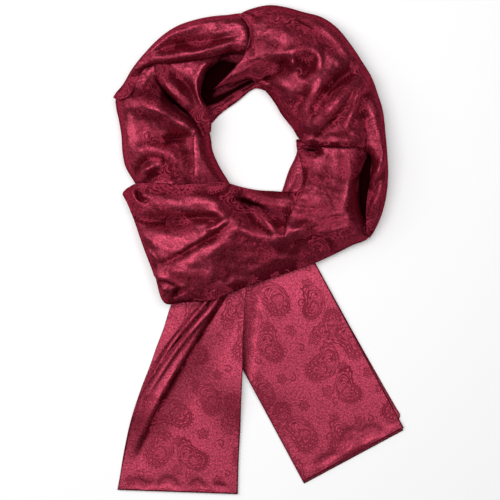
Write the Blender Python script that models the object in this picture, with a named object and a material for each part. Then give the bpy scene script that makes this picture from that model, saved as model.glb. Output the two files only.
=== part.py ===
"""Satin-faced paisley scarf, folded in half along its length and laid flat in a neck loop.

The middle of the cloth is the wide front band.  Its two ends go up the left limb and the right
limb, cross behind the neck and come down again as the two flat tails below the band.  Every
stretch of cloth that shows is one closed solid.  A stretch is a loft through a short table of
sections, rounded across like a soft roll, with its main folds raised or sunk in its upper side.
Its underside is flat on the table, or follows whatever cloth lies below it at a small gap.

Tables are in millimetres, seen from above: x to the right, y to the top, and the origin on the
table in the middle of the scarf.  The meshes are in metres.
"""

import math
from collections import namedtuple

import bmesh
import bpy
import numpy as np
from mathutils import Vector
from mathutils.bvhtree import BVHTree

MM = 0.001
SCARF_NAME = "velvet_scarf"

CLOTH_WALL = 1.6
LAYER_GAP = 0.5
NET_SPACING = 1.2
NET_X = np.arange(-195.0, 195.0, NET_SPACING)
NET_Y = np.arange(-300.0, 300.0, NET_SPACING)
PROBE_HEIGHT = 200.0
DOWN = Vector((0.0, 0.0, -1.0))
SPREAD_PLACES = 2
REST_PASSES = 8
REST_TOLERANCE = 0.05
SMOOTHING_PASSES = 3
ROUNDNESS = 1.9
EDGE_CROWDING = 0.5
FOLD_END_SHARE = 0.35
SHARP_ANGLE = math.radians(50.0)

CLOTH_ROUGHNESS = 0.42
CLOTH_METALLIC = 0.25

Section = namedtuple("Section", "outer_x outer_y inner_x inner_y height")
Fold = namedtuple("Fold", "start_x start_y middle_x middle_y end_x end_y rise half_width")
Stretch = namedtuple("Stretch", "name sections folds along across shoulder flat_panel colour")

MID_RED = (0.36, 0.045, 0.085, 1.0)
DARK_RED = (0.24, 0.020, 0.045, 1.0)
BRIGHT_RED = (0.44, 0.062, 0.110, 1.0)

# The right tail is a straight strip, the folded cloth's own half width across.  Its lower layer
# has slipped a little past the upper one at the hem, and sideways down to its own corner.
TAIL_WIDTH = 132.0
TAIL_DIRECTION = math.radians(-61.8)
TAIL_TOP_LEFT = (-64.0, -54.5)
RIGHT_TAIL_LENGTH = 242.0
TAIL_LAYER = 2.0
UNDER_HEM_SLIP = 2.5
UNDER_SIDE_SLIP = 3.5
UNDER_CORNER = 0.925

LEFT_TAIL_UNDER = (
    Section(-91, -39, -20, -39, 2.0),
    Section(-102, -63, -22, -57, 2.0),
    Section(-111, -91, -22, -89, 2.0),
    Section(-116, -112, -23, -115, 2.0),
    Section(-127, -135, -24, -143, 2.0),
    Section(-136, -158, -25, -170, 2.0),
    Section(-149, -198, -26, -207, 2.0),
    Section(-157, -235, -28, -242, 2.0),
    Section(-163, -274, -29, -279, 2.0),
)

LEFT_TAIL_PLEAT = (
    Section(-60, -43, -30, -38, 2.4),
    Section(-66, -57, -40, -62, 2.4),
    Section(-87, -83, -62, -92, 2.4),
    Section(-106, -107, -80, -117, 2.4),
    Section(-122, -131, -96, -142, 2.2),
    Section(-133, -154, -108, -165, 2.0),
    Section(-142, -178, -118, -187, 1.8),
)

LEFT_TAIL = (
    Section(-46, -40, -14, -36, 3.0),
    Section(-56, -59, -16, -52, 3.4),
    Section(-79, -87, -18, -87, 3.6),
    Section(-93, -104, -19, -109, 3.4),
    Section(-111, -125, -19, -133, 3.0),
    Section(-120, -141, -20, -152, 2.8),
    Section(-134, -162, -21, -175, 2.4),
    Section(-147, -195, -22, -205, 2.2),
    Section(-156, -235, -24, -243, 2.0),
    Section(-164, -277, -25, -282, 2.0),
)
LEFT_TAIL_FOLDS = (
    Fold(-50, -60, -94, -115, -152, -224, 9.0, 12.0),
    Fold(-36, -80, -70, -140, -120, -238, -1.2, 9.0),
)

LEFT_NECK = (
    Section(45, 123, 65, 120, 14),
    Section(42, 109, 65, 103, 14),
    Section(34, 92, 59, 85, 13),
    Section(26, 68, 51, 62, 11),
    Section(19, 51, 44, 48, 8),
)

LEFT_LIMB = (
    Section(-132, 52, -24, 52, 20),
    Section(-143, 76, -34, 76, 29),
    Section(-155, 98, -47, 98, 34),
    Section(-158, 115, -56, 115, 34),
    Section(-159, 132, -63, 129, 34),
    Section(-162, 150, -64, 145, 34),
    Section(-165, 164, -67, 160, 33),
    Section(-165, 175, -74, 176, 32),
    Section(-155, 184, -84, 189, 31),
    Section(-147, 197, -93, 201, 30),
    Section(-137, 210, -103, 213, 27),
)
LEFT_LIMB_FOLDS = (
    Fold(-151, 167, -114, 162, -73, 138, 7, 9),
    Fold(-128, 180, -106, 170, -84, 154, -7, 7),
    Fold(-126, 126, -97, 127, -80, 124, -7, 10),
    Fold(-135, 94, -112, 120, -84, 92, 6, 8),
    Fold(-137, 84, -122, 97, -103, 90, -6, 8),
    Fold(-68, 134, -69, 110, -58, 80, 6, 9),
    Fold(-80, 131, -82, 109, -78, 80, -5, 6),
)

UNDER_FOLD = (
    Section(-74, 163, -56, 145, 14),
    Section(-72, 186, -45, 157, 15),
    Section(-60, 208, -26, 171, 15),
    Section(-36, 222, -6, 186, 15),
    Section(-10, 226, 6, 184, 14),
)

CROWN_LEFT = (
    Section(-112, 232, -34, 243, 26),
    Section(-118, 218, -38, 230, 32),
    Section(-120, 207, -47, 216, 36),
    Section(-116, 195, -59, 206, 38),
    Section(-110, 184, -65, 193, 39),
    Section(-97, 171, -67, 179, 39),
    Section(-85, 160, -63, 168, 37),
    Section(-75, 150, -56, 160, 34),
    Section(-68, 139, -55, 148, 30),
    Section(-64, 129, -56, 135, 24),
)
CROWN_LEFT_FOLDS = (
    Fold(-46, 210, -62, 191, -62, 164, 5, 7),
    Fold(-109, 203, -86, 194, -78, 165, -4, 9),
)

INNER_PLEAT = (
    Section(-12, 222, -2, 195, 33),
    Section(-24, 210, -14, 194, 32),
    Section(-33, 203, -24, 191, 30),
    Section(-42, 194, -35, 185, 27),
    Section(-49, 184, -45, 179, 22),
)

CROWN_OUTER = (
    Section(-167, 175, -161, 170, 10),
    Section(-163, 182, -149, 175, 22),
    Section(-156, 191, -142, 187, 28),
    Section(-147, 206, -135, 203, 34),
    Section(-133, 224, -121, 211, 39),
    Section(-117, 241, -103, 212, 42),
    Section(-96, 256, -82, 214, 43),
    Section(-74, 264, -63, 217, 43),
    Section(-55, 268, -45, 221, 42),
    Section(-36, 270, -28, 224, 40),
    Section(-20, 272, -14, 222, 36),
    Section(-9, 271, -6, 219, 32),
)
CROWN_OUTER_FOLDS = (
    Fold(-96, 220, -54, 224, -22, 228, 4, 7),
    Fold(-88, 239, -59, 242, -27, 247, -4, 9),
)

FRONT_BAND = (
    Section(42, 127, 119, 122, 24),
    Section(43, 115, 124, 108, 27),
    Section(47, 101, 125, 91, 28),
    Section(50, 90, 124, 69, 28),
    Section(50, 79, 122, 48, 29),
    Section(47, 70, 122, 27, 31),
    Section(40, 67, 125, 15, 32),
    Section(29, 67, 106, 5, 33),
    Section(14, 68, 86, -5, 34),
    Section(-2, 69, 64, -15, 35),
    Section(-18, 72, 42, -23, 36),
    Section(-34, 76, 18, -31, 36),
    Section(-50, 78, -9, -40, 37),
    Section(-68, 76, -34, -50, 38),
    Section(-86, 75, -57, -58, 38),
    Section(-105, 76, -85, -60, 38),
    Section(-124, 77, -109, -61, 37),
    Section(-140, 76, -119, -34, 35),
    Section(-151, 72, -132, 0, 30),
    Section(-158, 66, -145, 38, 20),
)
FRONT_BAND_FOLDS = (
    Fold(-138, 54, -86, 55, -30, 30, 6, 9),
    Fold(-136, 63, -129, 62, -121, 60, -6, 6),
    Fold(-137, 34, -97, 32, -51, 34, -8, 9),
    Fold(-117, 6, -90, 7, -60, 14, 5, 12),
    Fold(-101, -14, -68, 3, -39, 26, -6, 6),
    Fold(-106, -27, -63, -8, -28, 22, 6, 8),
    Fold(-30, 30, -2, 20, 28, 11, 5, 9),
    Fold(-9, 53, 8, 36, 27, 14, 4, 5),
    Fold(52, 98, 50, 68, 29, 12, 6, 8),
    Fold(24, 60, 26, 46, 24, 28, -5, 9),
    Fold(50, 114, 81, 113, 112, 110, -5, 7),
    Fold(-99, -52, -93, -48, -84, -46, -7, 7),
)

HOOD = (
    Section(-24, 272, -14, 223, 40),
    Section(-9, 277, -5, 199, 42),
    Section(10, 281, 3, 186, 44),
    Section(29, 279, 10, 178, 45),
    Section(51, 273, 18, 168, 45),
    Section(72, 267, 25, 156, 45),
    Section(88, 256, 32, 147, 44),
    Section(104, 237, 39, 138, 43),
    Section(117, 218, 44, 129, 41),
    Section(128, 200, 51, 121, 40),
    Section(136, 179, 71, 117, 38),
    Section(142, 159, 96, 117, 37),
    Section(145, 132, 119, 115, 35),
    Section(147, 109, 125, 103, 33),
    Section(148, 86, 124, 83, 31),
    Section(145, 57, 121, 57, 28),
    Section(140, 38, 119, 41, 24),
    Section(133, 24, 120, 28, 18),
)
HOOD_FOLDS = (
    Fold(-30, 265, 26, 251, 96, 222, 5, 10),
    Fold(-4, 252, 37, 235, 90, 204, -5, 10),
    Fold(-2, 214, 30, 222, 68, 217, 5, 8),
    Fold(12, 202, 35, 203, 60, 201, -12, 12),
    Fold(33, 214, 40, 202, 46, 190, 6, 5),
    Fold(63, 216, 73, 201, 48, 184, 4, 6),
    Fold(44, 158, 60, 172, 82, 190, -7, 8),
    Fold(50, 133, 61, 159, 88, 193, 7, 8),
    Fold(61, 136, 88, 167, 119, 198, -7, 8),
    Fold(54, 126, 84, 152, 125, 194, 8, 7),
    Fold(75, 130, 98, 151, 116, 175, -5, 7),
    Fold(108, 138, 114, 163, 127, 190, 4, 6),
    Fold(87, 128, 106, 132, 121, 144, 5, 11),
    Fold(135, 104, 134, 64, 129, 34, -6, 7),
)


def right_tail_sections(hem_slip, side_slip):
    """Sections of the straight right tail, with what a slipped layer shows past its neighbour."""
    down = np.array((math.cos(TAIL_DIRECTION), math.sin(TAIL_DIRECTION)))
    across = np.array((-down[1], down[0]))
    start = np.array(TAIL_TOP_LEFT) + hem_slip * down
    sections = []
    for share in (0.0, 0.25, 0.5, 0.75, UNDER_CORNER - 0.03, UNDER_CORNER, UNDER_CORNER + 0.03, 1.0):
        side = side_slip if share <= UNDER_CORNER else -0.5 * side_slip
        outer = start + down * RIGHT_TAIL_LENGTH * share
        inner = outer + across * (TAIL_WIDTH + side)
        sections.append(Section(*outer, *inner, TAIL_LAYER))
    return tuple(sections)


RIGHT_TAIL_UNDER = right_tail_sections(UNDER_HEM_SLIP, UNDER_SIDE_SLIP)
RIGHT_TAIL = right_tail_sections(0.0, 0.0)

STRETCHES = (
    Stretch("right_tail_under", RIGHT_TAIL_UNDER, (), 24, 4, 9.0, True, DARK_RED),
    Stretch("right_tail", RIGHT_TAIL, (), 12, 6, 9.0, True, BRIGHT_RED),
    Stretch("left_tail_under", LEFT_TAIL_UNDER, (), 18, 8, 9.0, True, DARK_RED),
    Stretch("left_tail_pleat", LEFT_TAIL_PLEAT, (), 14, 4, 5.0, True, DARK_RED),
    Stretch("left_tail", LEFT_TAIL, LEFT_TAIL_FOLDS, 24, 14, 9.0, True, BRIGHT_RED),
    Stretch("left_neck", LEFT_NECK, (), 9, 6, 2.4, False, DARK_RED),
    Stretch("left_limb", LEFT_LIMB, LEFT_LIMB_FOLDS, 26, 18, 2.8, False, MID_RED),
    Stretch("under_fold", UNDER_FOLD, (), 12, 6, 2.6, False, DARK_RED),
    Stretch("crown_left", CROWN_LEFT, CROWN_LEFT_FOLDS, 20, 13, 3.0, False, MID_RED),
    Stretch("inner_pleat", INNER_PLEAT, (), 9, 6, 2.6, False, MID_RED),
    Stretch("crown_outer", CROWN_OUTER, CROWN_OUTER_FOLDS, 30, 11, 2.6, False, MID_RED),
    Stretch("front_band", FRONT_BAND, FRONT_BAND_FOLDS, 48, 19, 3.0, False, MID_RED),
    Stretch("hood", HOOD, HOOD_FOLDS, 44, 19, 2.9, False, MID_RED),
)


def clear_scene():
    """Remove every object that the file opened with."""
    for item in list(bpy.data.objects):
        bpy.data.objects.remove(item, do_unlink=True)


def scarf_collection():
    """The collection that holds the scarf's pieces."""
    collection = bpy.data.collections.new(SCARF_NAME)
    bpy.context.scene.collection.children.link(collection)
    return collection


def cloth_material(name, colour):
    """A satin cloth finish in one plain colour."""
    material = bpy.data.materials.new(name)
    material.use_nodes = True
    shader = material.node_tree.nodes["Principled BSDF"]
    shader.inputs["Base Color"].default_value = colour
    shader.inputs["Roughness"].default_value = CLOTH_ROUGHNESS
    shader.inputs["Metallic"].default_value = CLOTH_METALLIC
    material.diffuse_color = colour
    return material


def curve_through(stations, values, wanted):
    """A smooth curve through values at the stations, read at the wanted stations."""
    slopes = np.gradient(values, stations, axis=0)
    span = np.clip(np.searchsorted(stations, wanted, side="right") - 1, 0, len(stations) - 2)
    length = (stations[span + 1] - stations[span])[:, None]
    share = (wanted - stations[span])[:, None] / length
    start, end = values[span], values[span + 1]
    start_slope, end_slope = slopes[span] * length, slopes[span + 1] * length
    blend = share * share * (3.0 - 2.0 * share)
    leaving = share * (1.0 - share) ** 2
    arriving = share * share * (share - 1.0)
    return start + (end - start) * blend + start_slope * leaving + end_slope * arriving


def read_sections(sections, along):
    """Outer point, inner point and height at each share of the stretch's length."""
    rows = np.array(sections, dtype=float)
    steps = np.diff(rows[:, :4], axis=0)
    outer_steps = np.hypot(steps[:, 0], steps[:, 1])
    inner_steps = np.hypot(steps[:, 2], steps[:, 3])
    stations = np.concatenate(([0.0], np.cumsum((outer_steps + inner_steps) / 2.0)))
    return curve_through(stations, rows, along * stations[-1])


def edge_biased(share):
    """Column places that draw closer together towards both edges, where the cloth rolls under."""
    crowded = (1.0 - np.cos(math.pi * share)) / 2.0
    return (1.0 - EDGE_CROWDING) * share + EDGE_CROWDING * crowded


def fold_distance(points, fold):
    """Distance of each point from the fold's bent line, and how far along that line it lies."""
    knots = np.array((fold[0:2], fold[2:4], fold[4:6]), dtype=float)
    nearest = np.full(len(points), np.inf)
    place = np.zeros(len(points))
    for part in range(2):
        start, end = knots[part], knots[part + 1]
        run = end - start
        share = np.clip((points - start) @ run / (run @ run), 0.0, 1.0)
        distance = np.linalg.norm(points - (start + share[:, None] * run), axis=1)
        closer = distance < nearest
        nearest = np.where(closer, distance, nearest)
        place = np.where(closer, (part + share) / 2.0, place)
    return nearest, place


def fold_relief(points, folds):
    """Height that the main folds add to the upper side, or take from it."""
    relief = np.zeros(len(points))
    for fold in folds:
        distance, place = fold_distance(points, fold)
        crest = np.exp(-(distance / fold.half_width) ** 2)
        fade = FOLD_END_SHARE + (1.0 - FOLD_END_SHARE) * np.sin(math.pi * place)
        relief += fold.rise * crest * fade
    return relief


def empty_table():
    """Height of the cloth laid so far, over an even net of places on the table."""
    return np.zeros((len(NET_X), len(NET_Y)))


def net_span(places, low, high):
    """The part of the net's places along one axis that lies between two bounds."""
    first = np.searchsorted(places, low, side="right") - 1
    last = np.searchsorted(places, high, side="left") + 1
    return slice(max(first, 0), last)


def add_to_table(laid, tree, points):
    """Note how high the newly laid stretch stands at each place of the net."""
    low, high = points.min(axis=0), points.max(axis=0)
    columns, rows = net_span(NET_X, low[0], high[0]), net_span(NET_Y, low[1], high[1])
    for column in range(columns.start, min(columns.stop, len(NET_X))):
        for row in range(rows.start, min(rows.stop, len(NET_Y))):
            above = Vector((NET_X[column], NET_Y[row], PROBE_HEIGHT))
            hit = tree.ray_cast(above, DOWN)[0]
            if hit is not None:
                laid[column, row] = max(laid[column, row], hit.z)


def spread_out(laid):
    """The laid heights, each carried a few places outwards all round."""
    spread = laid.copy()
    steps = range(-SPREAD_PLACES, SPREAD_PLACES + 1)
    for step_x in steps:
        for step_y in steps:
            spread = np.maximum(spread, np.roll(laid, (step_x, step_y), axis=(0, 1)))
    return spread


def resting_heights(points, reach, laid):
    """Height that clears all cloth below within each point's reach."""
    heights = np.zeros(len(points))
    for index, (x, y) in enumerate(points):
        columns = net_span(NET_X, x - reach[index], x + reach[index])
        rows = net_span(NET_Y, y - reach[index], y + reach[index])
        highest = laid[columns, rows].max()
        heights[index] = highest + LAYER_GAP if highest > 0.0 else 0.0
    return heights


def smooth_upwards(sheet, heights):
    """Even out the underside without letting it sink into what it lies on."""
    for _ in range(SMOOTHING_PASSES):
        evened = heights.copy()
        for vertex in sheet.verts:
            near = [edge.other_vert(vertex).index for edge in vertex.link_edges]
            evened[vertex.index] = (heights[vertex.index] + heights[near].mean()) / 2.0
        lifted = (evened > heights) & (heights > 0.0)
        heights = np.where(lifted, evened, heights)
    return heights


def lift_clear(sheet, points, heights, laid):
    """Raise the underside wherever a facet still comes within the gap of the cloth below."""
    spread = spread_out(laid)
    low, high = points.min(axis=0), points.max(axis=0)
    columns, rows = net_span(NET_X, low[0], high[0]), net_span(NET_Y, low[1], high[1])
    covered = np.argwhere(spread[columns, rows] > 0.0) + (columns.start, rows.start)
    for _ in range(REST_PASSES):
        for vertex in sheet.verts:
            vertex.co.z = heights[vertex.index]
        sheet.faces.ensure_lookup_table()
        underside = BVHTree.FromBMesh(sheet)
        moved = False
        for column, row in covered:
            above = Vector((NET_X[column], NET_Y[row], PROBE_HEIGHT))
            hit, _, face, _ = underside.ray_cast(above, DOWN)
            if hit is None:
                continue
            short = spread[column, row] + LAYER_GAP - hit.z
            if short <= REST_TOLERANCE:
                continue
            moved = True
            for vertex in sheet.faces[face].verts:
                heights[vertex.index] = max(heights[vertex.index], vertex.co.z + short)
        if not moved:
            break
    return heights


def upper_side(stretch, across, height, relief, rest):
    """Heights of the upper side: a soft roll, or a flat panel, with its folds."""
    bulge = np.clip(1.0 - np.abs(2.0 * across - 1.0) ** stretch.shoulder, 0.0, 1.0)
    roll = bulge ** (1.0 / ROUNDNESS)
    if stretch.flat_panel:
        crest = rest + height + relief * roll
    else:
        room = np.maximum(height + relief - rest - CLOTH_WALL, 0.0)
        crest = rest + CLOTH_WALL + room * roll
    return np.maximum(crest, rest + CLOTH_WALL)


def plan_sheet(stretch):
    """The stretch as one flat net of triangles, with each point's place across and its height."""
    sheet = bmesh.new()
    bmesh.ops.create_grid(sheet, x_segments=stretch.across, y_segments=stretch.along, size=1.0)
    shares = np.array([(vertex.co.x, vertex.co.y) for vertex in sheet.verts]) / 2.0 + 0.5
    across = edge_biased(shares[:, 0])
    rows = read_sections(stretch.sections, shares[:, 1])
    outer, inner, height = rows[:, 0:2], rows[:, 2:4], rows[:, 4]
    points = outer + (inner - outer) * across[:, None]
    for vertex in sheet.verts:
        vertex.co = (*points[vertex.index], 0.0)
    bmesh.ops.triangulate(sheet, faces=sheet.faces[:])
    sheet.verts.index_update()
    return sheet, points, across, height


def close_between(sheet, rest, crest):
    """Make the flat net a closed solid between its underside and its upper side."""
    crest_height = sheet.verts.layers.float.new("crest_height")
    for vertex in sheet.verts:
        vertex.co.z = rest[vertex.index]
        vertex[crest_height] = crest[vertex.index]
    copied = bmesh.ops.extrude_face_region(sheet, geom=sheet.faces[:])["geom"]
    for item in copied:
        if isinstance(item, bmesh.types.BMVert):
            item.co.z = item[crest_height]
    sheet.verts.layers.float.remove(crest_height)
    bmesh.ops.recalc_face_normals(sheet, faces=sheet.faces[:])


def make_piece(stretch, sheet, collection):
    """Turn the closed sheet into a named object in metres, with its cloth."""
    bmesh.ops.scale(sheet, vec=(MM, MM, MM), verts=sheet.verts[:])
    mesh = bpy.data.meshes.new(stretch.name)
    sheet.to_mesh(mesh)
    sheet.free()
    mesh.shade_smooth()
    mesh.set_sharp_from_angle(angle=SHARP_ANGLE)
    mesh.materials.append(cloth_material(stretch.name + "_cloth", stretch.colour))
    piece = bpy.data.objects.new(stretch.name, mesh)
    collection.objects.link(piece)


def lay_stretch(stretch, laid, collection):
    """Build one stretch of cloth on top of what is already laid."""
    sheet, points, across, height = plan_sheet(stretch)
    reach = [max(edge.calc_length() for edge in vertex.link_edges) for vertex in sheet.verts]
    rest = resting_heights(points, reach, laid)
    rest = smooth_upwards(sheet, rest)
    rest = lift_clear(sheet, points, rest, laid)
    relief = fold_relief(points, stretch.folds)
    crest = upper_side(stretch, across, height, relief, rest)
    close_between(sheet, rest, crest)
    add_to_table(laid, BVHTree.FromBMesh(sheet), points)
    make_piece(stretch, sheet, collection)


def main():
    """Lay the stretches from the lowest to the highest."""
    clear_scene()
    collection = scarf_collection()
    laid = empty_table()
    for stretch in STRETCHES:
        lay_stretch(stretch, laid, collection)


main()
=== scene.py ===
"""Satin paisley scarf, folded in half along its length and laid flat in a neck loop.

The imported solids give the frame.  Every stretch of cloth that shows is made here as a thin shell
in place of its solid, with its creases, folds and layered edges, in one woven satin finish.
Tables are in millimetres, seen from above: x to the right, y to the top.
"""

import logging
import math
from dataclasses import dataclass, field
from enum import Enum
from typing import NamedTuple, Sequence

import bmesh
import bpy
import numpy as np
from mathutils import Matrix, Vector, noise


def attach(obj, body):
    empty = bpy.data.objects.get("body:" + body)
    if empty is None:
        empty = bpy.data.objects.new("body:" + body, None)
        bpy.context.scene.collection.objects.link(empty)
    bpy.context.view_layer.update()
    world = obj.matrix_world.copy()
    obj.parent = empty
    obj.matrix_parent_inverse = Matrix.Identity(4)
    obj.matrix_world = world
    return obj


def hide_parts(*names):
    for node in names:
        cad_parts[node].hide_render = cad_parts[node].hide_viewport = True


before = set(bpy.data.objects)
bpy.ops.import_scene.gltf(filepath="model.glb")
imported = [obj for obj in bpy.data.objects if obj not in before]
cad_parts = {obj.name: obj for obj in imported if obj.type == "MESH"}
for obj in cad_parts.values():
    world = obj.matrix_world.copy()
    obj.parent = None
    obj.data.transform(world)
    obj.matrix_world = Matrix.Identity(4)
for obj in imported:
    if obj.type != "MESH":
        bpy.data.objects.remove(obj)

LOG = logging.getLogger("scarf")
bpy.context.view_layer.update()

MM = 0.001
BODY = "root"
PlanPath = Sequence[tuple[float, float]]
Sections = Sequence["Section"]
Folds = Sequence["Fold"]
Colour = tuple[float, float, float] | bpy.types.NodeSocket


class FoldKind(Enum):
    """How a fold shapes the cloth along its path."""

    RIDGE = "ridge"
    TROUGH = "trough"
    TUCK = "tuck"


class Section(NamedTuple):
    """One cut across a stretch: both edges in plan, the height of its crown and its bow.

    A bowed cut is a curve, whose middle lies that far from the straight line between the edges.
    """

    outer_x: float
    outer_y: float
    inner_x: float
    inner_y: float
    height: float
    bow_x: float = 0.0
    bow_y: float = 0.0


class Fold(NamedTuple):
    """One listed crease.

    A ridge or trough is soft on both sides.  A tuck lifts the cloth to the left of its path, so
    that it overhangs the cloth to the right by its lip; reach is how far the lift carries.
    """

    kind: FoldKind
    path: PlanPath
    rise: float
    width: float
    lip: float = 0.0
    reach: float = 30.0


RIDGE, TROUGH, TUCK = FoldKind.RIDGE, FoldKind.TROUGH, FoldKind.TUCK


def curve_through(stations: np.ndarray, values: np.ndarray, wanted: np.ndarray) -> np.ndarray:
    """Read a smooth curve through values at the wanted stations.

    Args:
        stations: Rising places of the known values.
        values: One row for each station.
        wanted: Places to read.

    Returns:
        One row for each wanted place.
    """
    slopes = np.gradient(values, stations, axis=0)
    span = np.clip(np.searchsorted(stations, wanted, side="right") - 1, 0, len(stations) - 2)
    length = (stations[span + 1] - stations[span])[:, None]
    share = (wanted - stations[span])[:, None] / length
    start, end = values[span], values[span + 1]
    blend = share * share * (3.0 - 2.0 * share)
    leaving = slopes[span] * length * share * (1.0 - share) ** 2
    arriving = slopes[span + 1] * length * share * share * (share - 1.0)
    return start + (end - start) * blend + leaving + arriving


def smooth_step(value: np.ndarray) -> np.ndarray:
    """Rise softly from 0 to 1 as value does."""
    share = np.clip(value, 0.0, 1.0)
    return share * share * (3.0 - 2.0 * share)


class FoldShaper:
    """Works out what the folds of one stretch add to its upper side."""

    CURVE_POINTS = 14
    END_SHARE = 0.25
    TUCK_FADE = 0.28
    LEAN_PEAK = 2.33
    RIDGE_POWER = 3.2
    TROUGH_ROUNDNESS = 0.16
    TROUGH_FALL = 1.3
    UNEVENNESS = 0.14
    UNEVEN_TURNS = 9.0

    def __init__(self, folds: Folds) -> None:
        """Keep the folds, each with its path made a smooth line.

        Args:
            folds: The stretch's folds.
        """
        self.folds = [(fold, self.smooth_path(fold.path)) for fold in folds]

    def smooth_path(self, path: PlanPath) -> np.ndarray:
        """Draw a smooth line through a path's corners.

        Args:
            path: The corners.

        Returns:
            Points of the line, evenly spaced.
        """
        corners = np.array(path, dtype=float)
        steps = np.hypot(*np.diff(corners, axis=0).T)
        stations = np.concatenate(([0.0], np.cumsum(steps)))
        return curve_through(stations, corners, np.linspace(0.0, stations[-1], self.CURVE_POINTS))

    @staticmethod
    def locate(points: np.ndarray, line: np.ndarray) -> tuple[np.ndarray, np.ndarray, np.ndarray]:
        """Find how points lie against a line.

        Args:
            points: Plan positions.
            line: The line's own points.

        Returns:
            Signed distance, left of the line positive; share of the way along it; and the unit
            direction away from the line on its left.
        """
        start, run = line[:-1], np.diff(line, axis=0)
        offset = points[:, None, :] - start[None, :, :]
        share = np.clip((offset * run).sum(2) / (run * run).sum(1), 0.0, 1.0)
        gap = offset - share[:, :, None] * run
        distance = np.linalg.norm(gap, axis=2)
        nearest = distance.argmin(axis=1)
        picked = np.arange(len(points))
        side = run[nearest]
        normal = np.stack((-side[:, 1], side[:, 0]), axis=1)
        normal /= np.linalg.norm(normal, axis=1)[:, None]
        sign = np.sign((gap[picked, nearest] * normal).sum(1))
        along = (nearest + share[picked, nearest]) / len(run)
        return sign * distance[picked, nearest], along, normal

    def tuck(
        self, fold: Fold, distance: np.ndarray, along: np.ndarray
    ) -> tuple[np.ndarray, np.ndarray]:
        """Work out one tuck.

        Args:
            fold: The tuck.
            distance: Signed distance from its path, left of it positive.
            along: Share of the way along its path.

        Returns:
            The height that it adds, and how far its lip leans to the right of its path.
        """
        fade = smooth_step(along / self.TUCK_FADE) * smooth_step((1.0 - along) / self.TUCK_FADE)
        step = smooth_step((distance / fold.width + 1.0) / 2.0)
        carried = np.exp(-np.clip(distance, 0.0, None) / fold.reach)
        close = distance / fold.width
        lean = self.LEAN_PEAK * close * np.exp(-close * close)
        return fold.rise * fade * step * carried, fold.lip * fade * lean

    def soft_fold(
        self, fold: Fold, distance: np.ndarray, along: np.ndarray, start_x: float
    ) -> np.ndarray:
        """Work out one ridge or trough.

        Args:
            fold: The ridge or trough.
            distance: Signed distance from its path.
            along: Share of the way along its path.
            start_x: Where its path starts, which sets where it swells a little.

        Returns:
            The height that it adds.
        """
        fade = self.END_SHARE + (1.0 - self.END_SHARE) * np.clip(np.sin(math.pi * along), 0.0, 1.0)
        fade *= 1.0 + self.UNEVENNESS * np.sin(along * self.UNEVEN_TURNS + fold.rise + start_x)
        away = np.abs(distance / fold.width)
        if fold.kind is FoldKind.RIDGE:
            return fold.rise * fade / (1.0 + away**self.RIDGE_POWER)
        soft = self.TROUGH_ROUNDNESS
        return -fold.rise * fade * np.exp(self.TROUGH_FALL * (soft - np.hypot(away, soft)))

    def shape(self, points: np.ndarray) -> tuple[np.ndarray, np.ndarray]:
        """Add up the folds at plan positions.

        Args:
            points: Plan positions on the stretch.

        Returns:
            The height that the folds add, and the sideways move that makes their lips.
        """
        lift = np.zeros(len(points))
        move = np.zeros_like(points)
        for fold, line in self.folds:
            distance, along, normal = self.locate(points, line)
            if fold.kind is FoldKind.TUCK:
                raised, leaned = self.tuck(fold, distance, along)
                lift += raised
                move -= normal * leaned[:, None]
            else:
                lift += self.soft_fold(fold, distance, along, line[0, 0])
        return lift, move


class HeightNet:
    """Height of the cloth laid so far, over an even net of places on the table."""

    SPACING = 1.5
    LOW = np.array((-200.0, -300.0))
    SHAPE = (267, 400)

    def __init__(self) -> None:
        """Start from the bare table."""
        self.heights = np.zeros(self.SHAPE)

    def lay(self, points: np.ndarray, tops: np.ndarray) -> None:
        """Note how high newly laid cloth stands.

        Args:
            points: Plan positions of the cloth.
            tops: Its height at each of them.
        """
        places = np.round((points - self.LOW) / self.SPACING).astype(int)
        np.maximum.at(self.heights, (places[:, 0], places[:, 1]), tops)

    def support(self, reach: int) -> np.ndarray:
        """Carry the laid heights outwards and even them.

        Args:
            reach: How many places they are carried.

        Returns:
            One height for each place of the net.
        """
        spread = self.heights
        for axis in (0, 1):
            shifts = range(-reach, reach + 1)
            spread = np.max([np.roll(spread, shift, axis) for shift in shifts], axis=0)
        for _ in range(max(2, reach * reach)):
            for axis in (0, 1):
                ahead, behind = np.roll(spread, 1, axis), np.roll(spread, -1, axis)
                spread = spread / 2.0 + (ahead + behind) / 4.0
        return spread

    def read(self, points: np.ndarray, reach: int) -> np.ndarray:
        """Read the height that clears the laid cloth.

        Args:
            points: Plan positions.
            reach: How many places outwards the laid cloth counts.

        Returns:
            One height for each position.
        """
        spread = self.support(reach)
        places = (points - self.LOW) / self.SPACING
        corner = np.floor(places).astype(int)
        share_x, share_y = (places - corner).T
        column, row = corner.T
        near = spread[column, row] * (1 - share_x) + spread[column + 1, row] * share_x
        far = spread[column, row + 1] * (1 - share_x) + spread[column + 1, row + 1] * share_x
        return near * (1 - share_y) + far * share_y


class Surface(NamedTuple):
    """A stretch's upper side in millimetres; every grid has rows along and columns across.

    Plan holds its positions, rest the heights below it and top its own, and relief tells crests
    from hollows, for the painted highlights on crests and painted shade in hollows.
    """

    plan: np.ndarray
    rest: np.ndarray
    top: np.ndarray
    relief: np.ndarray


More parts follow.
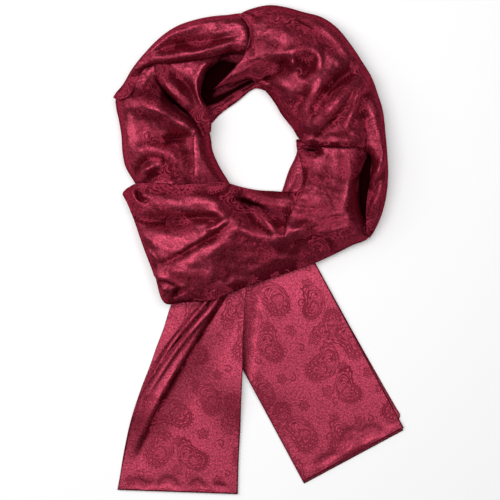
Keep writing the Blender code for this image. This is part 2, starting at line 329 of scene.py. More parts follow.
@dataclass
class Stretch:
    """One stretch of the cloth that shows, made as a thin shell.

    Shoulder, roundness, crest and the painted light and shade each hold a few values, spread evenly
    along the stretch: how square its roll is across, how steeply its edges rise, how far across its
    crest lies, and how much lighter or darker it is painted, as painted light or painted shade.
    Crumple is the height of its small creases, and drag that of the drawn-out ones against them.  A
    flat panel is one layer without a roll.
    """

    name: str
    sections: Sections
    folds: Folds = ()
    along_step: float = 1.9
    across_count: int = 70
    shoulder: tuple[float, ...] = (2.6,)
    roundness: tuple[float, ...] = (2.0,)
    crest: tuple[float, ...] = (0.5,)
    crumple: float = 0.95
    crumple_size: float = 16.0
    drag: float = 1.5
    end_length: float = 7.0
    pattern_turn: float = 0.0
    pattern_shift: tuple[float, float] = (0.0, 0.0)
    rests_on: Sequence[str] = ()
    also_replaces: Sequence[str] = ()
    # How much lighter or darker the stretch is painted: painted light above 0, painted shade below.
    painted_light_and_shade: tuple[float, ...] = (0.0,)
    flat_panel: bool = False

    # The cloth's thickness, the gap between layers and the loft of a flat panel.
    CLOTH = 1.2
    GAP = 0.4
    LOFT = 0.9

    # How a layer reads what it rests on, how high a roll's sides are, and how far a lip moves.
    NET_REACH = 2
    SOFT_REACH = 9
    LEAST_REST = 0.05
    SIDE_SHARE = 0.34
    LIP_FULL = 1.4

    # Rows along, and columns across and below.
    LEAST_ROWS = 8
    EVEN_SHARE = 0.45
    CROWDED_SHARE = 0.55
    UNDER_COLUMNS = 12
    UNDER_SAG = 0.5

    # Small creases: strength, fineness and layer of each finer wave, then the drawn-out ones.
    CREASE_WAVES = ((0.45, 2.3, 7.0), (0.34, 4.6, 11.0))
    DRAG_LENGTH = 3.2
    DRAG_WIDTH = 0.62
    DRAG_SLANT = 0.22
    DRAG_SEED = 3.0

    # Relief, which the finish paints as highlight on crests and shade in hollows: where a fold counts
    # as deep and is painted near-black, where a place low on a roll is painted darker, how crests are
    # told from hollows, and the painted shade of the underside.
    DEEP_SHADE_FROM = 6.0
    DEEP_SHADE_SPAN = 8.5
    LOW_SHADE_FROM = 0.52
    LOW_SHADE_SPAN = 0.25
    RELIEF_PASSES = 24
    RELIEF_HEIGHT = 1.6
    UNDER_PAINTED_SHADE = -0.7

    # Least lengths and shares; the merge distance is in metres.
    LEAST_WIDTH = 1e-6
    MERGE_DISTANCE = 0.00001
    LEAST_CUT_SHARE = 0.3

    def rows(self) -> tuple[np.ndarray, np.ndarray]:
        """Read the sections at even steps along the stretch.

        Returns:
            One row of section values for each step, and each step's distance along.
        """
        table = np.array(self.sections, dtype=float)
        steps = np.diff(table[:, :4], axis=0)
        outer = np.hypot(steps[:, 0], steps[:, 1])
        inner = np.hypot(steps[:, 2], steps[:, 3])
        stations = np.concatenate(([0.0], np.cumsum((outer + inner) / 2.0)))
        count = max(self.LEAST_ROWS, int(round(stations[-1] / self.along_step)))
        places = np.linspace(0.0, stations[-1], count + 1)
        return curve_through(stations, table, places), places

    def across(self) -> np.ndarray:
        """Space the columns across, closer together towards both edges of a roll.

        Returns:
            Each column's share of the way across.
        """
        share = np.linspace(0.0, 1.0, self.across_count + 1)
        if self.flat_panel:
            return share
        return self.EVEN_SHARE * share + self.CROWDED_SHARE * (1.0 - np.cos(math.pi * share)) / 2.0

    def roll_profile(self, places: np.ndarray, share: np.ndarray) -> np.ndarray:
        """Work out how far the roll stands up.

        Args:
            places: Distance of each row along the stretch.
            share: Share across of each column.

        Returns:
            For every row and column, from 0 at the roll's edges to 1 on its crest.
        """
        crest = self.along_values(self.crest, places)
        shoulder = self.along_values(self.shoulder, places)
        power = math.log(0.5) / np.log(crest)
        skewed = share[None, :] ** power[:, None]
        bulge = np.clip(1.0 - np.abs(2.0 * skewed - 1.0) ** shoulder[:, None], 0.0, 1.0)
        roundness = self.along_values(self.roundness, places)
        ends = np.minimum(places, places[-1] - places) / self.end_length
        closing = np.sqrt(1.0 - (1.0 - np.clip(ends, 0.0, 1.0)) ** 2)
        return bulge ** (1.0 / roundness[:, None]) * closing[:, None]

    @staticmethod
    def along_values(values: tuple[float, ...], places: np.ndarray) -> np.ndarray:
        """Spread a few values evenly along the stretch and read them at every row."""
        return np.interp(places / places[-1], np.linspace(0.0, 1.0, len(values)), values)

    def small_creases(self, points: np.ndarray, way: np.ndarray, side: np.ndarray) -> np.ndarray:
        """Work out the small uneven waves of handled cloth.

        Args:
            points: Plan positions.
            way: Distance of each along the stretch.
            side: Distance of each across it.

        Returns:
            The height that they add at each position.
        """
        size = self.crumple_size
        seed = float(len(self.name))
        heights = []
        for (x, y), u, v in zip(points, way, side):
            wave = noise.noise(Vector((x / size, y / size, seed)))
            for strength, fineness, layer in self.CREASE_WAVES:
                finer = Vector((x / size * fineness, y / size * fineness, layer))
                wave += strength * noise.noise(finer)
            drawn = u / size / self.DRAG_LENGTH
            slanted = (v + self.DRAG_SLANT * u) / size / self.DRAG_WIDTH
            wave += self.drag * noise.noise(Vector((drawn, slanted, seed + self.DRAG_SEED)))
            heights.append(wave)
        return self.crumple * np.array(heights)

    def top_surface(self, net: HeightNet) -> Surface:
        """Work out the upper side and lay it on the net.

        Args:
            net: The cloth laid so far.

        Returns:
            The upper side.
        """
        rows, places = self.rows()
        share = self.across()
        outer, inner, bow = rows[:, None, 0:2], rows[:, None, 2:4], rows[:, None, 5:7]
        bent = (4.0 * share * (1.0 - share))[None, :, None]
        plan = outer + (inner - outer) * share[None, :, None] + bow * bent
        shape = plan.shape[:2]
        points = plan.reshape(-1, 2)
        rest = net.read(points, self.SOFT_REACH if self.flat_panel else self.NET_REACH)
        rest = np.where(rest > self.LEAST_REST, rest + self.GAP, 0.0)
        lift, move = FoldShaper(self.folds).shape(points)
        width = np.linalg.norm(plan[:, -1] - plan[:, 0], axis=1)
        way = np.repeat(places, shape[1])
        lift += self.small_creases(points, way, (width[:, None] * share[None, :]).ravel())
        roll = self.roll_profile(places, share).ravel()
        height = np.repeat(rows[:, 4], shape[1])
        floor = rest + self.CLOTH
        if self.flat_panel:
            top = floor + self.LOFT + lift
            roll = np.ones_like(roll)
        else:
            closing = roll.reshape(shape).max(axis=1).repeat(shape[1])
            side = rest + np.maximum(self.CLOTH, self.SIDE_SHARE * (height - rest) * closing)
            top = side + np.maximum(height + lift - side, 0.0) * roll
        top = np.maximum(top, floor)
        moved = points + move * np.clip(roll * self.LIP_FULL, 0.0, 1.0)[:, None]
        net.lay(moved, top)
        fullness = (top - rest).reshape(shape) / rows[:, 4:5]
        # Deep folds push relief below -1, for near-black painted shade in them.
        deep = np.clip((-lift - self.DEEP_SHADE_FROM) / self.DEEP_SHADE_SPAN, 0.0, 1.0).reshape(shape)
        relief = self.relief(top.reshape(shape), fullness) - deep
        return Surface(moved.reshape(*shape, 2), rest.reshape(shape), top.reshape(shape), relief)

    def relief(self, top: np.ndarray, fullness: np.ndarray) -> np.ndarray:
        """Tell crests from hollows, for painted highlights on crests and painted shade in hollows.

        Args:
            top: Heights, rows along and columns across.
            fullness: Each place's height above its rest, as a share of the stretch's.

        Returns:
            For every point, from -1 deep in a crease to 1 on a crest.
        """
        even = top
        for _ in range(self.RELIEF_PASSES):
            for axis in (0, 1):
                edge = [(1, 1) if side == axis else (0, 0) for side in (0, 1)]
                padded = np.moveaxis(np.pad(even, edge, mode="edge"), axis, 0)
                even = np.moveaxis(padded[:-2] / 4.0 + padded[1:-1] / 2.0 + padded[2:] / 4.0, 0, axis)
        # Places low on a roll's sides are painted darker: painted shade.
        low = 0.0 if self.flat_panel else np.clip((self.LOW_SHADE_FROM - fullness) / self.LOW_SHADE_SPAN, 0.0, 1.0)
        # Each stretch's own painted light or painted shade, spread along it.
        painted_light_and_shade = self.along_values(self.painted_light_and_shade, np.arange(len(top), dtype=float))[:, None]
        return np.clip((top - even) / self.RELIEF_HEIGHT - low + painted_light_and_shade, -1.0, 1.0)

    def wrap(self, surface: Surface) -> np.ndarray:
        """Carry the upper side round both edges and back below.

        Args:
            surface: The upper side.

        Returns:
            Positions in millimetres, rows along and columns all the way round.
        """
        plan, rest, top = surface.plan, surface.rest, surface.top
        upper = np.concatenate((plan, top[:, :, None]), axis=2)
        if self.flat_panel:
            return upper
        below = []
        for column in range(1, self.UNDER_COLUMNS):
            turn = math.pi * column / self.UNDER_COLUMNS
            share = (1.0 + math.cos(turn)) / 2.0
            sag = math.sin(turn) ** self.UNDER_SAG
            edge_height = top[:, -1] * share + top[:, 0] * (1.0 - share)
            place = int(np.abs(self.across() - share).argmin())
            low, position = rest[:, place], plan[:, place]
            height = low + (edge_height - low) * (1.0 - sag) * (edge_height > low)
            below.append(np.concatenate((position, height[:, None]), axis=1)[:, None, :])
        return np.concatenate([upper, *below, upper[:, :1]], axis=1)

    def cloth_coordinates(self, surface: Surface, round_grid: np.ndarray) -> np.ndarray:
        """Work out where each point lies on the flat cloth.

        Args:
            surface: The upper side.
            round_grid: Positions in millimetres, rows along and columns round.

        Returns:
            Pattern coordinates in metres, one pair for each point.
        """
        steps = np.linalg.norm(np.diff(round_grid, axis=1), axis=2)
        travelled = np.concatenate((np.zeros((len(steps), 1)), np.cumsum(steps, axis=1)), axis=1)
        middle_column = self.across_count // 2
        travelled -= travelled[:, middle_column : middle_column + 1]
        plan = surface.plan
        across = plan[:, -1] - plan[:, 0]
        across /= np.maximum(np.linalg.norm(across, axis=1)[:, None], self.LEAST_WIDTH)
        flat = plan[:, middle_column][:, None, :] + across[:, None, :] * travelled[:, :, None]
        turn = math.radians(self.pattern_turn)
        turned_x = flat[..., 0] * math.cos(turn) - flat[..., 1] * math.sin(turn)
        turned_y = flat[..., 0] * math.sin(turn) + flat[..., 1] * math.cos(turn)
        shifted = np.stack((turned_x + self.pattern_shift[0], turned_y + self.pattern_shift[1]), 2)
        return shifted * MM

    def shell_mesh(self, grid: np.ndarray, pattern: np.ndarray, relief: np.ndarray) -> bpy.types.Mesh:
        """Shape a flat grid into the shell; the sides of a roll meet below.

        Args:
            grid: Positions in millimetres, rows along and columns round.
            pattern: Pattern coordinates in metres, one pair for each position.
            relief: Relief of the upper side.

        Returns:
            The shell's mesh, one layer thick.
        """
        rows, columns = grid.shape[:2]
        sheet = bmesh.new()
        bmesh.ops.create_grid(sheet, x_segments=columns - 1, y_segments=rows - 1, size=1.0)
        cloth_map = sheet.loops.layers.uv.new("cloth")
        relief_layer = sheet.verts.layers.float.new("relief")
        places = {}
        for vertex in sheet.verts:
            column = int(round((vertex.co.x + 1.0) / 2.0 * (columns - 1)))
            row = int(round((vertex.co.y + 1.0) / 2.0 * (rows - 1)))
            places[vertex] = (row, column)
        for face in sheet.faces:
            for loop in face.loops:
                loop[cloth_map].uv = pattern[places[loop.vert]]
        for vertex, place in places.items():
            vertex.co = grid[place] * MM
            above = place[1] <= self.across_count
            # The underside is given a fixed painted shade in its relief.
            vertex[relief_layer] = relief[place] if above else self.UNDER_PAINTED_SHADE
        if not self.flat_panel:
            bmesh.ops.remove_doubles(sheet, verts=sheet.verts[:], dist=self.MERGE_DISTANCE)
        bmesh.ops.recalc_face_normals(sheet, faces=sheet.faces[:])
        self.face_outwards(sheet)
        mesh = bpy.data.meshes.new(self.name + "_shell")
        sheet.to_mesh(mesh)
        sheet.free()
        mesh.shade_smooth()
        return mesh

    def build(self, net: HeightNet, finish: bpy.types.Material) -> bpy.types.Object:
        """Make the shell, dress it and give it to the body.

        Args:
            net: The cloth laid so far.
            finish: The cloth's material.

        Returns:
            The finished piece.
        """
        surface = self.top_surface(net)
        grid = self.wrap(surface)
        mesh = self.shell_mesh(grid, self.cloth_coordinates(surface, grid), surface.relief)
        mesh.materials.append(finish)
        piece = bpy.data.objects.new(self.name + "_shell", mesh)
        bpy.context.scene.collection.objects.link(piece)
        wall = piece.modifiers.new("cloth wall", "SOLIDIFY")
        wall.thickness = self.CLOTH * MM
        wall.offset = -1.0
        self.register(piece, grid)
        return piece

    @staticmethod
    def face_outwards(sheet: bmesh.types.BMesh) -> None:
        """Turn the sheet over where its highest face looks down.

        Args:
            sheet: The sheet, with even normals.
        """
        highest = max(sheet.faces, key=lambda face: face.calc_center_median().z)
        if highest.normal.z < 0.0:
            bmesh.ops.reverse_faces(sheet, faces=sheet.faces[:])

    def register(self, piece: bpy.types.Object, grid: np.ndarray) -> None:
        """Give the piece to the body, hide the solids that it replaces, and log its cut size and area.

        Args:
            piece: The finished piece.
            grid: Its positions in millimetres.
        """
        round_steps = np.linalg.norm(np.diff(grid, axis=1), axis=2).sum(axis=1) * MM
        long_steps = np.linalg.norm(np.diff(grid, axis=0), axis=2).sum(axis=0) * MM
        cut_width, cut_length = float(round_steps.max()), float(long_steps.max())
        area = self.surface_area(grid)
        share = min(max(area / (cut_width * cut_length), self.LEAST_CUT_SHARE), 1.0)
        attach(piece, BODY)
        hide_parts(self.name, *self.also_replaces)
        cut_width * cut_length * share
        LOG.info("%s: cut %.3f by %.3f m, %.4f square metres", self.name, cut_width, cut_length, area)

    @staticmethod
    def surface_area(grid: np.ndarray) -> float:
        """Measure the sheet through a grid.

        Args:
            grid: Positions in millimetres, rows along and columns round.

        Returns:
            Its area in square metres.
        """
        along = np.diff(grid, axis=0)[:, :-1]
        across = np.diff(grid, axis=1)[:-1]
        return float(np.linalg.norm(np.cross(along, across), axis=2).sum() * MM * MM)


class Value:
    """A number that varies over a surface, as a node socket that takes part in sums."""

    def __init__(self, graph: "Graph", socket: bpy.types.NodeSocket) -> None:
        """Wrap a socket.

        Args:
            graph: The material's graph.
            socket: The output that carries the number.
        """
        self.graph = graph
        self.socket = socket

    def apply(self, operation: str, *others: "Value | float", clamp: bool = False) -> "Value":
        """Return the result of a Math node on this value and the others."""
        return self.graph.math(operation, self, *others, clamp=clamp)

    def __add__(self, other: "Value | float") -> "Value":
        """Return the sum."""
        return self.apply("ADD", other)

    __radd__ = __add__

    def __mul__(self, other: "Value | float") -> "Value":
        """Return the product."""
        return self.apply("MULTIPLY", other)

    __rmul__ = __mul__

    def __sub__(self, other: "Value | float") -> "Value":
        """Return the difference."""
        return self.apply("SUBTRACT", other)

    def __rsub__(self, other: float) -> "Value":
        """Return the difference from a plain number."""
        return self.graph.math("SUBTRACT", other, self)

    def __truediv__(self, other: "Value | float") -> "Value":
        """Return the quotient."""
        return self.apply("DIVIDE", other)

    def __rtruediv__(self, other: float) -> "Value":
        """Return a plain number divided by this."""
        return self.graph.math("DIVIDE", other, self)


class Graph:
    """Builds the nodes of one material."""

    BAND_GAIN = 1.8
    FLAT_NOISE = {"noise_dimensions": "2D"}

    def __init__(self, name: str) -> None:
        """Start a material with an empty graph.

        Args:
            name: The material's name.
        """
        self.material = bpy.data.materials.new(name)
        self.material.use_nodes = True
        self.tree = self.material.node_tree
        self.tree.nodes.clear()

    def node(
        self, kind: str, settings: dict | None = None, inputs: dict | None = None
    ) -> bpy.types.Node:
        """Add one node.

        Args:
            kind: The node's type.
            settings: Its properties, set first.
            inputs: Values or links for its sockets, by name or number.

        Returns:
            The new node.
        """
        node = self.tree.nodes.new(kind)
        for name, value in (settings or {}).items():
            setattr(node, name, value)
        for name, value in (inputs or {}).items():
            socket = node.inputs[name]
            if isinstance(value, Value):
                self.tree.links.new(value.socket, socket)
            elif isinstance(value, bpy.types.NodeSocket):
                self.tree.links.new(value, socket)
            else:
                socket.default_value = value
        return node

    def math(self, operation: str, *operands: "Value | float", clamp: bool = False) -> Value:
        """Add one Math node.

        Args:
            operation: What it works out.
            operands: The values or plain numbers that it reads.
            clamp: Whether its result is held between 0 and 1.

        Returns:
            Its result.
        """
        settings = {"operation": operation, "use_clamp": clamp}
        node = self.node("ShaderNodeMath", settings, dict(enumerate(operands)))
        return Value(self, node.outputs[0])

    def noise(self, coordinates: bpy.types.NodeSocket, scale: float, detail: float = 2.0) -> Value:
        """Return soft noise over the coordinates."""
        inputs = {"Vector": coordinates, "Scale": scale, "Detail": detail}
        return Value(self, self.node("ShaderNodeTexNoise", self.FLAT_NOISE, inputs).outputs[0])

    def band(self, value: Value, centre: float, half_width: "Value | float") -> Value:
        """Return 1 where value is near centre, falling to 0 at half_width from it."""
        away = (value - centre).apply("ABSOLUTE")
        return self.math("MULTIPLY", 1.0 - away * (1.0 / half_width), self.BAND_GAIN, clamp=True)

    def below(self, value: Value, limit: float, softness: float) -> Value:
        """Return 1 where value is under the limit, with a soft edge."""
        return self.math("MULTIPLY", limit - value, 1.0 / softness, clamp=True)

    def mix_colour(self, factor: Value, first: Colour, second: Colour) -> bpy.types.NodeSocket:
        """Blend two colours.

        Args:
            factor: Share of the second colour.
            first: One colour, plain or varying.
            second: The other colour.

        Returns:
            The blended colour.
        """
        inputs = {0: factor}
        for place, colour in ((6, first), (7, second)):
            inputs[place] = colour if isinstance(colour, bpy.types.NodeSocket) else (*colour, 1.0)
        node = self.node("ShaderNodeMix", {"data_type": "RGBA"}, inputs)
        return node.outputs[2]


@dataclass(frozen=True)
class Teardrop:
    """One paisley of the repeat: its place, turn, size and the way its tip curls."""

    x: float
    y: float
    turn: float
    size: float
    curl: float


@dataclass(frozen=True)
class Blossom:
    """One small flower of the repeat."""

    x: float
    y: float
    size: float
    petals: int
    turn: float = 0.0


@dataclass(frozen=True)
class Tendril:
    """One curled stem of the repeat."""

    x: float
    y: float
    turn: float
    size: float
    coil: float


@dataclass(frozen=True)
class Spot:
    """A point of the cloth while its figure is worked out."""

    graph: Graph
    x: Value
    y: Value


class Ring(NamedTuple):
    """One ring of strokes in a motif: its radius and its line's weight, against the motif's own."""

    radius: float
    weight: float = 1.0


class Edge(NamedTuple):
    """One soft edge: where it lies, and how far it takes to fade."""

    limit: float
    softness: float


@dataclass(frozen=True)
class SatinDamask:
    """Satin-faced cloth with a paisley figure woven in matt thread.

    The thread is a matt shader and the satin face a shiny one, mixed by how much satin shows.
    Relief paints a highlight on crests and shade in hollows, and below -1 it paints near-black shade
    deep in a fold.
    """

    # Colours of the matt thread from dark to bright, which carry its grain and figure as well as
    # painted shade and painted light; the near-black painted shade deep in folds; and the satin's
    # shine.
    thread_dark: tuple[float, float, float] = (0.050, 0.0006, 0.0028)
    thread_bright: tuple[float, float, float] = (0.390, 0.0330, 0.0720)
    painted_crease_shade: tuple[float, float, float] = (0.010, 0.0003, 0.0009)
    shine_colour: tuple[float, float, float] = (0.56, 0.070, 0.130)
    shine_edge: tuple[float, float, float] = (0.30, 0.02, 0.05)

    # Roughness, how much satin shows, and how grain and relief change that; relief paints a highlight
    # on crests and shade in hollows.
    thread_rough: float = 0.7
    shine_rough: float = 0.45
    ground_shine: float = 0.43
    painted_crest_light: float = 0.25
    painted_hollow_shade: float = 0.8
    shine_grain: float = 0.6
    shine_patches: float = 0.3
    shine_least: float = 0.85

    # How light the thread is in the figure and on the ground between its strokes; the figure is painted
    # lighter in hollows and on crests.
    figure_light: float = 0.38
    figure_in_hollows: float = 0.68
    figure_on_crests: float = 0.4
    ground_light: float = 0.045
    ground_grain: float = 0.24

    # The weave's grain, flecks, patches and broken strokes; scales are for one metre.
    patch_scale: float = 16.0
    grain_scale: float = 400.0
    fleck_scale: float = 900.0
    grain_weight: float = 2.6
    fleck_weight: float = 2.4
    grain_height: float = 0.6
    weave_strength: float = 0.6
    weave_depth: float = 0.0004
    breaks: float = 0.45
    breaks_from: float = 0.28
    breaks_gain: float = 4.0
    wear_from: float = 0.30
    wear_gain: float = 3.2
    least_figure: float = 0.78

    # The repeat and its strokes, in metres.
    repeat_x: float = 0.101
    repeat_y: float = 0.122
    line: float = 0.00125
    echo: float = 0.0014
    wobble_scale: float = 60.0
    wobble_reach: float = 0.0036

    DROPS = (
        Teardrop(0.022, 0.031, 20.0, 0.0159, 1.0),
        Teardrop(0.071, 0.026, 200.0, 0.0138, -1.0),
        Teardrop(0.050, 0.076, 110.0, 0.0163, 1.0),
        Teardrop(0.010, 0.093, -40.0, 0.0127, -1.0),
        Teardrop(0.086, 0.089, 60.0, 0.0133, 1.0),
    )
    BLOSSOMS = (
        Blossom(0.046, 0.015, 0.0060, 5, 0.3),
        Blossom(0.048, 0.048, 0.0053, 6, 0.0),
        Blossom(0.003, 0.062, 0.0065, 5, 0.9),
        Blossom(0.076, 0.057, 0.0057, 5, 1.2),
        Blossom(0.029, 0.110, 0.0058, 6, 0.5),
        Blossom(0.067, 0.114, 0.0052, 5, 0.1),
        Blossom(0.093, 0.003, 0.0050, 5, 0.7),
    )
    TENDRILS = (
        Tendril(0.034, 0.057, 0.4, 0.0058, 1.0),
        Tendril(0.060, 0.009, 2.2, 0.0052, -1.0),
        Tendril(0.096, 0.045, 3.6, 0.0055, 1.0),
        Tendril(0.026, 0.077, 5.0, 0.0052, -1.0),
        Tendril(0.072, 0.093, 1.4, 0.0050, 1.0),
        Tendril(0.003, 0.010, 4.2, 0.0052, 1.0),
    )

    # A paisley: its rings, its twist and tip, and what runs along its rings.
    OUTLINE = Ring(1.0, 1.2)
    INNER = Ring(0.80)
    BEADS = Ring(0.64, 1.5)
    HEART = Ring(0.40, 1.3)
    FRINGE = Ring(1.20, 1.6)
    SEED = Edge(0.16, 0.10)
    TWIST = 0.55
    TIP_SHARPNESS = 6.0
    TIP_REACH = 1.45
    ROUND_REACH = 0.74
    SCALLOPS = 16.0
    SCALLOP_DEPTH = 0.035
    BEAD_COUNT = 11.0
    BEAD_GAIN = 1.6
    HEART_LOBES = 5.0
    HEART_DEPTH = 0.05
    RAYS = 20.0
    RAY_GAIN = 1.3
    RAY_FADE = 0.9

    # A small flower, then a curled stem.
    PETAL_EDGE = Ring(0.90)
    PETAL_DEPTH = 0.20
    CORE = Ring(0.42, 0.9)
    PISTIL = Edge(0.14, 0.12)
    COIL_PITCH = 0.85
    COIL_START = 0.12
    COIL_WEIGHT = 0.9

    # The fine lines that echo the outlines.
    INSIDE = Edge(0.0012, 0.0020)
    ECHO_FROM = 0.38
    ECHO_GAIN = 2.2
    ECHO_OUTSIDE = 0.24
    ECHO_INSIDE = 0.72

    def polar(self, spot: Spot, at: tuple[float, float]) -> tuple[Value, Value]:
        """Measure from the nearest repeat of a place.

        Args:
            spot: The point of the cloth.
            at: The place in the repeat.

        Returns:
            The distance and the angle.
        """
        local_x = (spot.x - at[0]).apply("WRAP", self.repeat_x / 2.0, -self.repeat_x / 2.0)
        local_y = (spot.y - at[1]).apply("WRAP", self.repeat_y / 2.0, -self.repeat_y / 2.0)
        distance = (local_x * local_x + local_y * local_y).apply("SQRT")
        return distance, local_y.apply("ARCTAN2", local_x)

    def teardrop(self, spot: Spot, drop: Teardrop) -> tuple[Value, Value]:
        """Draw one paisley: a scalloped outline round an inner line, beads, a heart and a seed.

        Args:
            spot: The point of the cloth.
            drop: The paisley.

        Returns:
            Its strokes, and the distance out from its outline.
        """
        graph = spot.graph
        distance, angle = self.polar(spot, (drop.x, drop.y))
        twist = distance * (drop.curl * self.TWIST / drop.size)
        swung = angle - math.radians(drop.turn) - twist
        toward_tip = swung.apply("COSINE") * 0.5 + 0.5
        reach = toward_tip.apply("POWER", self.TIP_SHARPNESS) * self.TIP_REACH + self.ROUND_REACH
        ring = distance / (reach * drop.size)
        line = self.line / drop.size / reach
        scallop = (swung * self.SCALLOPS).apply("SINE") * self.SCALLOP_DEPTH
        strokes = graph.band(ring + scallop, self.OUTLINE.radius, line * self.OUTLINE.weight)
        inner = graph.band(ring, self.INNER.radius, line)
        spots = ((swung * self.BEAD_COUNT).apply("COSINE") * self.BEAD_GAIN).apply("MAXIMUM", 0.0)
        beads = graph.band(ring, self.BEADS.radius, line * self.BEADS.weight) * spots
        lobes = (swung * self.HEART_LOBES).apply("COSINE") * self.HEART_DEPTH
        heart = graph.band(ring + lobes, self.HEART.radius, line * self.HEART.weight)
        seed = graph.below(ring, *self.SEED)
        rays = ((swung * self.RAYS).apply("COSINE") * self.RAY_GAIN).apply("MAXIMUM", 0.0)
        fringe = graph.band(ring, self.FRINGE.radius, line * self.FRINGE.weight)
        for part in (inner, beads, heart, seed, fringe * (rays * (self.RAY_FADE - toward_tip))):
            strokes = strokes.apply("MAXIMUM", part)
        return strokes, (ring - 1.0) * reach * drop.size

    def blossom(self, spot: Spot, flower: Blossom) -> tuple[Value, Value]:
        """Draw one small flower: a petalled outline round a core and a pistil.

        Args:
            spot: The point of the cloth.
            flower: The flower.

        Returns:
            Its strokes, and the distance out from its outline.
        """
        graph = spot.graph
        distance, angle = self.polar(spot, (flower.x, flower.y))
        petals = (angle * float(flower.petals) + flower.turn).apply("COSINE") * self.PETAL_DEPTH
        ring = distance * (1.0 / flower.size) + petals
        line = self.line / flower.size
        outline = graph.band(ring, self.PETAL_EDGE.radius, line)
        core = graph.band(ring, self.CORE.radius, line * self.CORE.weight)
        strokes = outline.apply("MAXIMUM", core).apply("MAXIMUM", graph.below(ring, *self.PISTIL))
        return strokes, (ring - self.PETAL_EDGE.radius) * flower.size

    def tendril(self, spot: Spot, stem: Tendril) -> Value:
        """Draw one curled stem.

        Args:
            spot: The point of the cloth.
            stem: The stem.

        Returns:
            Its strokes.
        """
        distance, angle = self.polar(spot, (stem.x, stem.y))
        turn = (angle * stem.coil + stem.turn).apply("WRAP", math.tau, 0.0)
        spiral = distance * (1.0 / stem.size) - turn * (self.COIL_PITCH / math.tau) - self.COIL_START
        return spot.graph.band(spiral, 0.0, self.line * self.COIL_WEIGHT / stem.size)

    def woven_figure(self, spot: Spot) -> Value:
        """Draw the whole repeat: the motifs, the stems and the fine lines that echo them.

        Args:
            spot: The point of the cloth.

        Returns:
            The figure, from 0 on the ground to 1 on a stroke.
        """
        graph = spot.graph
        motifs = [self.teardrop(spot, drop) for drop in self.DROPS]
        motifs += [self.blossom(spot, flower) for flower in self.BLOSSOMS]
        figure, away = motifs[0]
        for strokes, distance in motifs[1:]:
            figure = figure.apply("MAXIMUM", strokes)
            away = away.apply("MINIMUM", distance)
        for stem in self.TENDRILS:
            figure = figure.apply("MAXIMUM", self.tendril(spot, stem))
        rings = 1.0 - away.apply("PINGPONG", self.echo) * (1.0 / self.echo)
        lines = graph.math("MULTIPLY", rings - self.ECHO_FROM, self.ECHO_GAIN, clamp=True)
        inside = graph.below(away, *self.INSIDE)
        return figure.apply("MAXIMUM", lines * (inside * self.ECHO_INSIDE + self.ECHO_OUTSIDE))

    def wavered(self, graph: Graph, cloth: bpy.types.NodeSocket) -> Spot:
        """Waver the cloth's coordinates a little, so that no stroke is quite even.

        Args:
            graph: The material's graph.
            cloth: Coordinates on the flat cloth, in metres.

        Returns:
            The point that the figure is worked out for.
        """
        inputs = {"Vector": cloth, "Scale": self.wobble_scale, "Detail": 1.0}
        wobble = graph.node("ShaderNodeTexNoise", graph.FLAT_NOISE, inputs).outputs["Color"]
        middle = {0: wobble, 1: (0.5, 0.5, 0.5)}
        centred = graph.node("ShaderNodeVectorMath", {"operation": "SUBTRACT"}, middle)
        reach = {0: centred.outputs[0], "Scale": self.wobble_reach}
        small = graph.node("ShaderNodeVectorMath", {"operation": "SCALE"}, reach)
        moved = graph.node("ShaderNodeVectorMath", {}, {0: cloth, 1: small.outputs[0]})
        split = graph.node("ShaderNodeSeparateXYZ", {}, {0: moved.outputs[0]})
        return Spot(graph, Value(graph, split.outputs[0]), Value(graph, split.outputs[1]))

    def material(self) -> bpy.types.Material:
        """Build the cloth's material.

        Returns:
            The material, for pieces with the map "cloth" and the attribute "relief".
        """
        graph = Graph("satin_damask")
        cloth = graph.node("ShaderNodeUVMap", {"uv_map": "cloth"}).outputs[0]
        figure = self.woven_figure(self.wavered(graph, cloth))

        patches = graph.noise(cloth, self.patch_scale, 1.0)
        grain = graph.noise(cloth, self.grain_scale)
        fleck = graph.noise(cloth, self.fleck_scale, 1.0)
        whole = graph.math("MULTIPLY", grain - self.breaks_from, self.breaks_gain, clamp=True)
        worn = ((patches - self.wear_from) * self.wear_gain).apply("MINIMUM", 1.0)
        worn = worn.apply("MAXIMUM", self.least_figure)
        figure = figure * (whole * self.breaks + (1.0 - self.breaks)) * worn
        mottle = (grain - 0.5) * self.grain_weight + (fleck - 0.5) * self.fleck_weight

        # The relief attribute drives painted light and shade: highlight on crests, shade in hollows,
        # near-black shade below -1 deep in folds.
        reader = {"attribute_name": "relief", "attribute_type": "GEOMETRY"}
        relief = Value(graph, graph.node("ShaderNodeAttribute", reader).outputs["Fac"])
        crest = relief.apply("MAXIMUM", 0.0)
        hollow = graph.math("MULTIPLY", relief, -1.0, clamp=True)
        deep = graph.math("SUBTRACT", -1.0, relief, clamp=True)
        # Painted light and shade from the relief: lighter on crests, darker in hollows.
        lit = crest * self.painted_crest_light - hollow * self.painted_hollow_shade + 1.0

        # The ground's thread with its grain, painted lighter on crests and darker in hollows.
        ground = (mottle * self.ground_grain + self.ground_light) * lit
        # The figure's strokes are painted lighter in hollows and on crests.
        strength = hollow * self.figure_in_hollows + crest * self.figure_on_crests + self.figure_light
        bright = graph.math("ADD", ground, figure * strength, clamp=True)
        dry = graph.mix_colour(bright, self.thread_dark, self.thread_bright)
        # Near-black painted shade deep in folds.
        thread = graph.mix_colour(deep, dry, self.painted_crease_shade)
        # Less satin shows in hollows and none deep in folds, more on crests: painted sheen and shade,
        # on top of the weave's grain and patches.
        shine = (1.0 - figure) * self.ground_shine * lit
        shine = shine * (mottle * self.shine_grain + 1.0)
        shine = shine * (patches * self.shine_patches + self.shine_least) * (1.0 - deep)

